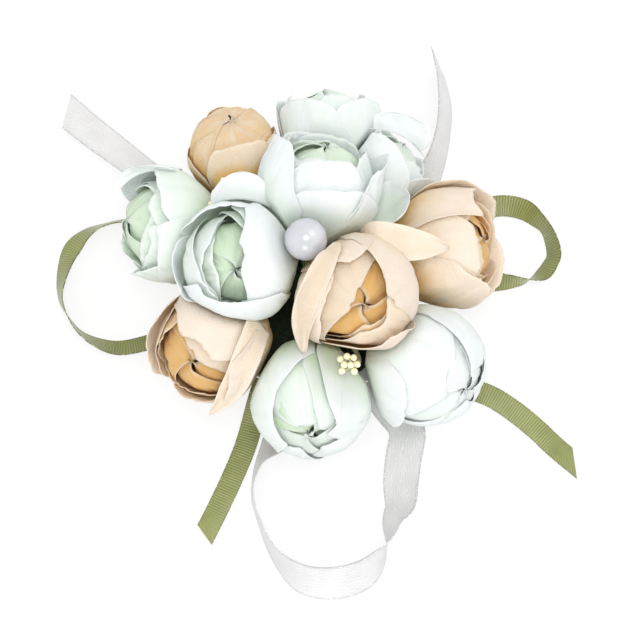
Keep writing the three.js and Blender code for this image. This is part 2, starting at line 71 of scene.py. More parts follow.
def deselectAll():
    if bpy.context.object and bpy.context.object.mode != "OBJECT":
        bpy.ops.object.mode_set(mode="OBJECT")
    bpy.ops.object.select_all(action="DESELECT")


def pick(piece):
    deselectAll()
    piece.select_set(True)
    bpy.context.view_layer.objects.active = piece


def joinPieces(pieces, name):
    pick(pieces[0])
    for piece in pieces[1:]:
        piece.select_set(True)
    if len(pieces) > 1:
        bpy.ops.object.join()
    whole = bpy.context.object
    whole.name = whole.data.name = name
    return whole


def applyModifier(piece, kind, **settings):
    pick(piece)
    modifier = piece.modifiers.new(kind.title(), kind)
    for key, value in settings.items():
        setattr(modifier, key, value)
    bpy.ops.object.modifier_apply(modifier=modifier.name)


def placeInMesh(piece):
    pick(piece)
    bpy.ops.object.transform_apply(location=True, rotation=True, scale=True)


def shadeSmooth(piece, angle=None):
    pick(piece)
    if angle is None:
        bpy.ops.object.shade_smooth()
    else:
        bpy.ops.object.shade_smooth_by_angle(angle=math.radians(angle))


def pointsOf(piece):
    flat = np.empty(len(piece.data.vertices) * 3)
    piece.data.vertices.foreach_get("co", flat)
    return flat.reshape(-1, 3)


def setPoints(piece, points):
    piece.data.vertices.foreach_set("co", np.asarray(points, float).ravel())
    piece.data.update()


def setAttribute(piece, name, values):
    attribute = piece.data.attributes.new(name, "FLOAT", "POINT")
    attribute.data.foreach_set("value", np.asarray(values, np.float32))


def flatGrid(columns, rows):
    # across runs from -1 to 1 over the width, rise from 0 to 1 along the length
    deselectAll()
    bpy.ops.mesh.primitive_grid_add(x_subdivisions=columns, y_subdivisions=rows, size=2, calc_uvs=True)
    piece = bpy.context.object
    points = pointsOf(piece)
    return piece, points[:, 0], (points[:, 1] + 1) / 2


def scaleUv(piece, wide, long, lengthFirst=False):
    # the map of the cloth, in millimetres
    layer = piece.data.uv_layers[0]
    flat = np.empty(len(layer.data) * 2)
    layer.data.foreach_get("uv", flat)
    spots = flat.reshape(-1, 2) * (wide, long)
    layer.data.foreach_set("uv", (spots[:, ::-1] if lengthFirst else spots).ravel())
    layer.name = "cloth"


def smoothStep(x, low, high):
    share = np.clip((np.asarray(x, float) - low) / (high - low), 0, 1)
    return share * share * (3 - 2 * share)


def noiseAt(x, y, z):
    return np.array([noise.noise(Vector(spot)) for spot in zip(*np.broadcast_arrays(x, y, z))])


def heading(bearing, tilt=90.0):
    out = math.sin(math.radians(tilt))
    turn = math.radians(bearing)
    return np.array([out * math.cos(turn), out * math.sin(turn), math.cos(math.radians(tilt))])


# Node groups that several finishes share

def paint(code):
    parts = [int(code[place:place + 2], 16) / 255 for place in (1, 3, 5)]
    return tuple(part / 12.92 if part <= 0.04045 else ((part + 0.055) / 1.055) ** 2.4 for part in parts) + (1.0,)


def addNode(tree, kind, inputs=None, **settings):
    node = tree.nodes.new(kind)
    for key, value in settings.items():
        setattr(node, key, value)
    for key, value in (inputs or {}).items():
        if isinstance(value, bpy.types.NodeSocket):
            tree.links.new(value, node.inputs[key])
        else:
            node.inputs[key].default_value = value
    return node


def calculate(tree, operation, first, second=0.0, third=0.5):
    return addNode(tree, "ShaderNodeMath", {0: first, 1: second, 2: third}, operation=operation).outputs[0]


def plus(tree, first, second):
    return calculate(tree, "ADD", first, second)


def times(tree, first, second):
    return calculate(tree, "MULTIPLY", first, second)


def waveOf(tree, place, turns):
    # a sine with so many turns in each unit
    return calculate(tree, "SINE", times(tree, place, 2 * math.pi * turns))


def noiseField(tree, place, scale, detail):
    return addNode(tree, "ShaderNodeTexNoise", {"Vector": place, "Scale": scale, "Detail": detail}).outputs["Fac"]


def attributeField(tree, name):
    return addNode(tree, "ShaderNodeAttribute", attribute_name=name).outputs["Fac"]


def newGroup(name, inputs, outputs):
    group = bpy.data.node_groups.new(name, "ShaderNodeTree")
    for label, kind in inputs:
        group.interface.new_socket(name=label, in_out="INPUT", socket_type=kind)
    for label, kind in outputs:
        group.interface.new_socket(name=label, in_out="OUTPUT", socket_type=kind)
    return group, group.nodes.new("NodeGroupInput"), group.nodes.new("NodeGroupOutput")


number, vector = "NodeSocketFloat", "NodeSocketVector"


def buildWeave():
    # plain weave: warp and weft threads with slight slubs, from a map in millimetres
    group, given, result = newGroup("plainWeave", [("Vector", vector), ("Threads", number), ("Slub", number)],
                                    [("Height", number)])
    slub = noiseField(group, given.outputs["Vector"], 0.9, 2.0)
    shift = times(group, calculate(group, "SUBTRACT", slub, 0.5), given.outputs["Slub"])
    parts = addNode(group, "ShaderNodeSeparateXYZ", {"Vector": given.outputs["Vector"]})
    warp, weft = (waveOf(group, times(group, plus(group, parts.outputs[axis], shift), given.outputs["Threads"]), 1)
                  for axis in ("X", "Y"))
    height = calculate(group, "MULTIPLY_ADD", times(group, warp, weft), 0.5, 0.5)
    group.links.new(height, result.inputs["Height"])
    return group


def buildCreases():
    # soft pleats that run along a petal, from a map in millimetres
    group, given, result = newGroup("clothCreases", [("Vector", vector), ("Size", number), ("Stretch", number)],
                                    [("Height", number)])
    parts = addNode(group, "ShaderNodeSeparateXYZ", {"Vector": given.outputs["Vector"]})
    along = calculate(group, "DIVIDE", parts.outputs["Y"], given.outputs["Stretch"])
    place = addNode(group, "ShaderNodeCombineXYZ", {"X": parts.outputs["X"], "Y": along})
    scale = calculate(group, "DIVIDE", 1.0, given.outputs["Size"])
    fold = addNode(group, "ShaderNodeTexNoise", {"Vector": place.outputs[0], "Scale": scale, "Detail": 3.0,
                                                 "Roughness": 0.45, "Distortion": 0.3})
    group.links.new(fold.outputs["Fac"], result.inputs["Height"])
    return group


def buildFibres():
    # felt and paper: short fibres from object coordinates
    group, given, result = newGroup("looseFibres", [("Vector", vector), ("Scale", number)],
                                    [("Height", number), ("Fleck", number)])
    place, scale = given.outputs["Vector"], given.outputs["Scale"]
    coarse = addNode(group, "ShaderNodeTexNoise", {"Vector": place, "Scale": scale, "Detail": 5.0, "Roughness": 0.7,
                                                   "Distortion": 1.4})
    fine = addNode(group, "ShaderNodeTexVoronoi", {"Vector": place, "Scale": times(group, scale, 2.5)})
    height = plus(group, coarse.outputs["Fac"], times(group, fine.outputs["Distance"], 0.4))
    group.links.new(height, result.inputs["Height"])
    group.links.new(coarse.outputs["Fac"], result.inputs["Fleck"])
    return group


groups = {"weave": buildWeave(), "creases": buildCreases(), "fibres": buildFibres()}


def placeGroup(tree, name, inputs):
    return addNode(tree, "ShaderNodeGroup", inputs, node_tree=groups[name])


def newFinish(name, constants):
    material = bpy.data.materials.new(name)
    material.use_nodes = True
    tree = material.node_tree
    tree.nodes.clear()
    end = tree.nodes.new("ShaderNodeOutputMaterial")
    shader = addNode(tree, "ShaderNodeBsdfPrincipled", constants)
    tree.links.new(shader.outputs["BSDF"], end.inputs["Surface"])
    return material, tree, shader, end


def mixColour(tree, share, first, second, blend="MIX"):
    # inputs 6 and 7 and output 2 of the node are its colours
    values = {0: share, 6: first, 7: second}
    return addNode(tree, "ShaderNodeMix", values, data_type="RGBA", blend_type=blend).outputs[2]


def colourRamp(tree, share, stops):
    node = addNode(tree, "ShaderNodeValToRGB", {"Fac": share})
    node.color_ramp.interpolation = "EASE"
    node.color_ramp.elements[0].position, node.color_ramp.elements[0].color = stops[0][0], paint(stops[0][1])
    node.color_ramp.elements[1].position, node.color_ramp.elements[1].color = stops[-1][0], paint(stops[-1][1])
    for place, code in stops[1:-1]:
        node.color_ramp.elements.new(place).color = paint(code)
    return node.outputs["Color"]


def mixShaders(tree, share, first, second, end):
    both = addNode(tree, "ShaderNodeMixShader", {0: share, 1: first, 2: second})
    tree.links.new(both.outputs[0], end.inputs["Surface"])


def dress(tree, shader, colour, height, strength, depth):
    bump = addNode(tree, "ShaderNodeBump", {"Strength": strength, "Distance": depth, "Height": height})
    tree.links.new(colour, shader.inputs["Base Color"])
    tree.links.new(bump.outputs["Normal"], shader.inputs["Normal"])
    return bump.outputs["Normal"]


def letThrough(tree, shader, end, colour, normal, share):
    # thin cloth glows where light comes from behind
    glow = addNode(tree, "ShaderNodeBsdfTranslucent", {"Color": colour, "Normal": normal})
    mixShaders(tree, share, shader.outputs["BSDF"], glow.outputs[0], end)


# Finishes

petalFinishes = {
    "mint": {"stops": [(0.0, "#f6f9fa"), (0.3, "#f1f9f1"), (0.62, "#e4f4dc"), (1.0, "#d0e8b8")], "rim": "#fafcfc",
             "weave": 0.2, "shade": "#dbe6e0"},
    "peach": {"stops": [(0.0, "#fff6eb"), (0.25, "#fdf0da"), (0.52, "#fad694"), (0.9, "#f9bf5a")], "rim": "#fdf3e2",
              "weave": 0.5, "shade": "#efdfcc"},
}
clothDetail = {"threads": 1.3, "slub": 0.3, "creaseSize": 2.2, "creaseStretch": 5.0, "through": 0.28,
               "cloud": 0.16, "spread": 0.35, "rim": 0.7, "relief": 0.55, "depth": 0.0006}
clothShine = {"Roughness": 0.78, "Specular IOR Level": 0.25, "Sheen Weight": 0.15, "Sheen Roughness": 0.45}


def petalFinish(tint):
    look, detail = petalFinishes[tint], clothDetail
    material, tree, shader, end = newFinish(tint + "Petal", clothShine)
    cloth = addNode(tree, "ShaderNodeUVMap", uv_map="cloth").outputs["UV"]
    cloud = noiseField(tree, cloth, detail["cloud"], 3.0)
    spread = times(tree, calculate(tree, "SUBTRACT", cloud, 0.5), detail["spread"])
    weave = placeGroup(tree, "weave", {"Vector": cloth, "Threads": detail["threads"], "Slub": detail["slub"]})
    creases = placeGroup(tree, "creases", {"Vector": cloth, "Size": detail["creaseSize"],
                                           "Stretch": detail["creaseStretch"]})
    woven = times(tree, weave.outputs["Height"], look["weave"])
    base = colourRamp(tree, plus(tree, attributeField(tree, "dye"), spread), look["stops"])
    threaded = mixColour(tree, woven, base, mixColour(tree, 1.0, base, paint(look["shade"]), "MULTIPLY"))
    edged = mixColour(tree, times(tree, attributeField(tree, "rim"), detail["rim"]), threaded, paint(look["rim"]))
    height = plus(tree, creases.outputs["Height"], woven)
    normal = dress(tree, shader, edged, height, detail["relief"], detail["depth"])
    letThrough(tree, shader, end, edged, normal, detail["through"])
    return material


# tone: how much of the colour follows the ribs and how much the clouds. glint is the colour of the painted highlights
# on the selvage
ribbonFinishes = {
    "green": {"stops": [(0.0, "#62682f"), (0.5, "#858a4a"), (1.0, "#aaae6e")], "selvage": "#535828",
              "glint": "#b9bb8c", "run": "X", "wobble": 0.3, "ribs": 1.4, "ribDepth": 1.0, "tone": (0.5, 0.5),
              "through": 0.1, "shine": {"Roughness": 0.32, "Specular IOR Level": 0.6, "Coat Weight": 0.15}},
    "white": {"stops": [(0.0, "#c6c7c6"), (0.5, "#dedddd"), (1.0, "#f2f2f3")], "selvage": "#b4b5b4",
              "glint": "#f2f2f2", "run": "Y", "wobble": 2.2, "ribs": 1.6, "ribDepth": 0.6, "tone": (0.45, 0.55),
              "through": 0.14, "shine": {"Roughness": 0.26, "Specular IOR Level": 1.0, "Coat Weight": 0.35,
                                         "Anisotropic Rotation": 0.25}},
}
satinShine = {"Sheen Weight": 0.1, "Anisotropic": 0.7, "Coat Roughness": 0.2}
satinDetail = {"threads": 4.2, "slub": 0.1, "wobble": 0.5, "cloud": 0.12, "paintedGlintSpots": 1.9, "paintedGlintFrom": 0.53,
               "paintedGlintGain": 9.0, "rim": 0.8, "woven": 0.2, "relief": 0.5, "depth": 0.00018}


def ribbonFinish(colour):
    # green satin is ribbed across, white satin has long floats; the map runs along x and across y, in millimetres
    look, detail = ribbonFinishes[colour], satinDetail
    material, tree, shader, end = newFinish(colour + "Satin", {**satinShine, **look["shine"]})
    cloth = addNode(tree, "ShaderNodeUVMap", uv_map="cloth").outputs["UV"]
    parts = addNode(tree, "ShaderNodeSeparateXYZ", {"Vector": cloth})
    wobble = times(tree, noiseField(tree, cloth, detail["wobble"], 2.0), look["wobble"])
    ribs = waveOf(tree, plus(tree, parts.outputs[look["run"]], wobble), look["ribs"])
    ribHeight = calculate(tree, "MULTIPLY_ADD", ribs, 0.5, 0.5)
    weave = placeGroup(tree, "weave", {"Vector": cloth, "Threads": detail["threads"], "Slub": detail["slub"]})
    ribTone, cloudTone = look["tone"]
    tone = plus(tree, times(tree, ribHeight, ribTone),
                times(tree, noiseField(tree, cloth, detail["cloud"], 2.0), cloudTone))
    base = colourRamp(tree, tone, look["stops"])
    # painted glints: in small noise spots the selvage takes the light glint colour, as painted highlights on its
    # threads
    paintedGlintSpots = calculate(tree, "SUBTRACT", noiseField(tree, cloth, detail["paintedGlintSpots"], 1.0), detail["paintedGlintFrom"])
    paintedGlints = times(tree, paintedGlintSpots, detail["paintedGlintGain"])
    selvage = mixColour(tree, paintedGlints, paint(look["selvage"]), paint(look["glint"]))
    edged = mixColour(tree, times(tree, attributeField(tree, "rim"), detail["rim"]), base, selvage)
    height = plus(tree, times(tree, ribHeight, look["ribDepth"]), times(tree, weave.outputs["Height"], detail["woven"]))
    normal = dress(tree, shader, edged, height, detail["relief"], detail["depth"])
    run = addNode(tree, "ShaderNodeTangent", direction_type="UV_MAP", uv_map="cloth")
    tree.links.new(run.outputs["Tangent"], shader.inputs["Tangent"])
    letThrough(tree, shader, end, edged, normal, look["through"])
    return material


def objectPlace(tree):
    return addNode(tree, "ShaderNodeTexCoord").outputs["Object"]


fibreRelief = 0.6
mouldedLook = {"mottle": 900.0, "gloss": 0.2, "relief": 0.25, "depth": 0.0001}


def fibreFinish(name, dark, light, scale, roughness, depth):
    material, tree, shader, end = newFinish(name, {"Roughness": roughness, "Specular IOR Level": 0.2})
    fibres = placeGroup(tree, "fibres", {"Vector": objectPlace(tree), "Scale": scale})
    base = colourRamp(tree, fibres.outputs["Fleck"], [(0.3, dark), (0.7, light)])
    dress(tree, shader, base, fibres.outputs["Height"], fibreRelief, depth)
    return material


def mouldedFinish(name, dark, light, roughness):
    # soft plastic or varnished paper: faint mottling and a slightly uneven gloss
    material, tree, shader, end = newFinish(name, {"Specular IOR Level": 0.45})
    look = mouldedLook
    mottle = noiseField(tree, objectPlace(tree), look["mottle"], 3.0)
    gloss = plus(tree, times(tree, mottle, look["gloss"]), roughness - look["gloss"] / 2)
    tree.links.new(gloss, shader.inputs["Roughness"])
    colour = colourRamp(tree, mottle, [(0.3, dark), (0.7, light)])
    dress(tree, shader, colour, mottle, look["relief"], look["depth"])
    return material


# edge is the lavender of a painted pearly sheen toward the outline, and edgeBlend says how soon it comes in
pearlLook = {"shine": {"Roughness": 0.22, "Coat Weight": 0.5, "Coat Roughness": 0.06, "Specular IOR Level": 0.6},
             "stops": [(0.3, "#b9bcc0"), (0.7, "#c6c7ca")], "edge": "#c6c6d2", "edgeBlend": 0.42, "cloud": 260.0,
             "relief": 0.04, "depth": 0.0001}


def pearlFinish():
    material, tree, shader, end = newFinish("pearlLacquer", pearlLook["shine"])
    cloud = noiseField(tree, objectPlace(tree), pearlLook["cloud"], 2.0)
    # painted sheen: the colour turns lavender toward the outline, where the surface faces away
    facing = addNode(tree, "ShaderNodeLayerWeight", {"Blend": pearlLook["edgeBlend"]}).outputs["Facing"]
    colour = mixColour(tree, facing, colourRamp(tree, cloud, pearlLook["stops"]), paint(pearlLook["edge"]))
    dress(tree, shader, colour, cloud, pearlLook["relief"], pearlLook["depth"])
    return material


finishes = {
    "mint": petalFinish("mint"), "peach": petalFinish("peach"),
    "green": ribbonFinish("green"), "white": ribbonFinish("white"),
    "felt": fibreFinish("pressedFelt", "#1f261c", "#343e2e", 700.0, 0.95, 0.0004),
    "tape": fibreFinish("floralTape", "#1d2a18", "#34462a", 420.0, 0.72, 0.0002),
    "stem": mouldedFinish("mouldedStem", "#43602f", "#587a3e", 0.5),
    "stamen": mouldedFinish("starchBead", "#f2eabd", "#fbf6da", 0.6),
    "wire": mouldedFinish("paperWire", "#8b9770", "#a6b189", 0.6),
    "pearl": pearlFinish(),
}
print("finishes made")


def finishPiece(piece, finish, slot, *nodes):
    piece.data.materials.clear()
    piece.data.materials.append(finishes[finish])
    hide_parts(*nodes)


# Bud heads: the sizes and the table of the part

budSizes = {"radius": 16.0, "lowRadius": 40.0, "lowHeight": 18.5, "crownRadius": 19.0, "crownHeight": 33.0,
            "seat": 5.2, "clearance": 0.3, "pinRadius": 1.1, "soft": 0.84}
pearlSizes = {"radius": 5.6, "place": (-0.5, 3.7, 42.0), "wireRadius": 0.5, "bore": 1.2, "segments": 48, "rings": 32}

# name, ring, bearing, place, height and size as shares, bearing and tilt of the axis, turn of the inner petals
budTable = [
    ("mint_left", "low", 159.6, 1.03, 1, 1, 178, 66, 40),
    ("peach_back_left", "low", 119.3, 1.03, 1, 0.93, 104, 54, 20),
    ("mint_front_left", "crown", 179.6, 0.97, 1, 1.03, -140, 18, 70),
    ("mint_crown", "crown", 82.8, 1.13, 1, 1.03, 75, 48, 30),
    ("mint_back", "low", 83.2, 1.06, 0.99, 0.94, 92, 70, 10),
    ("mint_back_right", "low", 57.5, 0.93, 0.92, 0.8, 44, 66, 50),
    ("peach_right", "low", 13.1, 0.96, 1, 1.01, 2, 60, 60),
    ("peach_front", "crown", -36.8, 0.84, 1.03, 1.05, -58, 27, 20),
    ("peach_low_left", "low", -143.7, 0.8, 1.05, 1.02, -126, 50, 80),
    ("mint_low_front", "low", -88.6, 0.83, 1, 1.02, -93, 56, 10),
    ("mint_low_right", "low", -38.2, 0.99, 1, 1.03, -38, 60, 45),
]

stamenTable = {
    "stamens_back_left": {
        "stalk": [[-5.2, 5.0, 11.4], [-13.5, 13.0, 14.0], [-19.0, 18.2, 23.0], [-20.4, 19.4, 28.0]],
        "beads": [[-22.4, 22.4, 33.6], [-24.6, 19.4, 33.2], [-25.6, 16.6, 32.0], [-20.6, 20.6, 35.0],
                  [-17.0, 17.4, 34.6]]},
    "stamens_front": {
        "stalk": [[3.4, -6.4, 11.4], [10.8, -16.0, 12.6], [13.6, -23.0, 19.0], [12.2, -25.6, 24.0]],
        "beads": [[8.0, -25.0, 29.4], [10.2, -24.4, 30.6], [12.4, -24.8, 30.4], [13.6, -26.8, 29.4],
                  [9.2, -27.2, 30.4], [11.4, -27.4, 30.8], [8.4, -29.0, 29.0], [12.6, -29.2, 29.2]],
        "clump": 0.78},
}
stamenSizes = {"bead": 1.05, "beadShape": (0.88, 0.88, 1.06), "segments": 16, "rings": 10, "uneven": 0.07,
               "grain": 1400, "thread": 0.2, "bow": 0.3, "stalk": 0.65, "sides": 2, "steps": 6}


def facing(lean, tilt):
    # the axis of a bud head and two directions across it, the first one upwards
    axis = heading(lean, tilt)
    upper = np.array([0, 0, 1.0]) - axis * axis[2]
    upper /= np.linalg.norm(upper)
    return {"axis": axis, "upper": upper, "side": np.cross(axis, upper)}


def readBuds():
    buds = []
    for name, ring, bearing, place, height, size, lean, tilt, innerTurn in budTable:
        centre = heading(bearing) * budSizes[ring + "Radius"] * place
        centre[2] = budSizes[ring + "Height"] * height
        buds.append({"name": name, "tint": name.split("_")[0], "centre": centre, "radius": budSizes["radius"] * size,
                     "size": size, "innerTurn": innerTurn, **facing(lean, tilt)})
    return buds


def setWalls(buds):
    # each neighbour, the pearl, the wire and the stamens press a bud head back, as in the part
    clearance = budSizes["clearance"]
    pearl = np.array(pearlSizes["place"])
    obstacles = [(pearl, pearlSizes["radius"])]
    for cluster in stamenTable.values():
        stalk = [np.array(point) for point in cluster["stalk"]]
        for first, second in zip(stalk, stalk[1:]):
            obstacles += [(first + (second - first) * share, stamenSizes["stalk"]) for share in (0, 0.5)]
        obstacles += [(np.array(bead), stamenSizes["bead"]) for bead in cluster["beads"]]
    for bud in buds:
        walls = [(np.array([0, 0, -1.0]), bud["centre"][2] - budSizes["seat"] - clearance)]
        for other in buds:
            if other is not bud:
                between = other["centre"] - bud["centre"]
                length = np.linalg.norm(between)
                middle = (length ** 2 + bud["radius"] ** 2 - other["radius"] ** 2) / (2 * length)
                walls.append((between / length, middle - clearance / 2))
        for centre, radius in obstacles:
            between = centre - bud["centre"]
            length = np.linalg.norm(between)
            walls.append((between / length, length - radius - clearance))
        toWire = (pearl - bud["centre"]) * (1, 1, 0)
        length = np.linalg.norm(toWire)
        walls.append((toWire / length, length - pearlSizes["wireRadius"] - clearance))
        bud["normals"] = np.array([normal for normal, distance in walls])
        bud["distances"] = np.array([distance for normal, distance in walls])


def pressBack(bud, direction, radius, depth):
    toward = direction @ bud["normals"].T
    free = np.where(toward > 1e-6, bud["distances"] / np.maximum(toward, 1e-6), 1e6).min(axis=1) - depth
    free = np.maximum(free, 1.0)
    soft, ratio = budSizes["soft"], radius / free
    held = free * (soft + (1 - soft) * np.tanh((ratio - soft) / (1 - soft)))
    return np.where(ratio <= soft, radius, held)


def directionAt(bud, polar, around):
    return (np.outer(np.cos(polar), bud["axis"]) + np.outer(np.sin(polar) * np.cos(around), bud["upper"])
            + np.outer(np.sin(polar) * np.sin(around), bud["side"]))


# depth keeps each layer inside the last where a neighbour presses it
layers = {
    "outer": {"depth": 0.15, "lift": 0.03, "crease": 0.4, "folds": 2.0, "ruffle": 0.3, "lip": 0.14, "ragged": 2.6,
              "dye": (0.0, 0.52), "columns": 50, "rows": 38},
    "inner": {"depth": 1.4, "lift": 0.03, "crease": 0.5, "folds": 1.9, "ruffle": 0.25, "lip": 0.12, "ragged": 3.0,
              "dye": (0.16, 0.75), "columns": 44, "rows": 32},
    "middle": {"depth": 2.6, "lift": 0.04, "crease": 0.6, "folds": 2.2, "ruffle": 0.3, "lip": 0.12, "ragged": 4.0,
               "dye": (0.35, 0.9), "columns": 38, "rows": 26},
    "heart": {"depth": 3.9, "lift": 0.1, "crease": 0.55, "folds": 3.0, "ruffle": 0.4, "lip": 0.1, "ragged": 4.0,
              "dye": (0.6, 0.95), "columns": 30, "rows": 20},
}
clothThickness = 0.16

# Angles are from the axis of the bud head: those that a rim may reach, those over which the dye deepens and those
# over which the pleats begin. tears: how fine, how deep and which part of the noise. Near the axis a rim tears less.
petalDetail = {"rim": (-9, 112), "dye": (52, 128), "pleats": (6, 40),
               "tears": [(2.2, 1.0, 0.0), (8, 0.3, 3.0), (31, 0.25, 5.0)],
               "tornBy": 35, "leastTorn": 0.15, "roll": 0.75, "rollChange": 0.5, "leastRoll": 0.02, "sharpness": 3.2,
               "fineness": 2.4, "fineShare": 0.45, "waves": 5.5, "overlap": 0.25, "rimFrom": 0.96, "sideFrom": 0.97,
               "liftRise": (0, 0.5), "pleatRise": (0.1, 0.5), "dyeFade": (0.7, 1), "sideRise": (0.3, 0.5)}

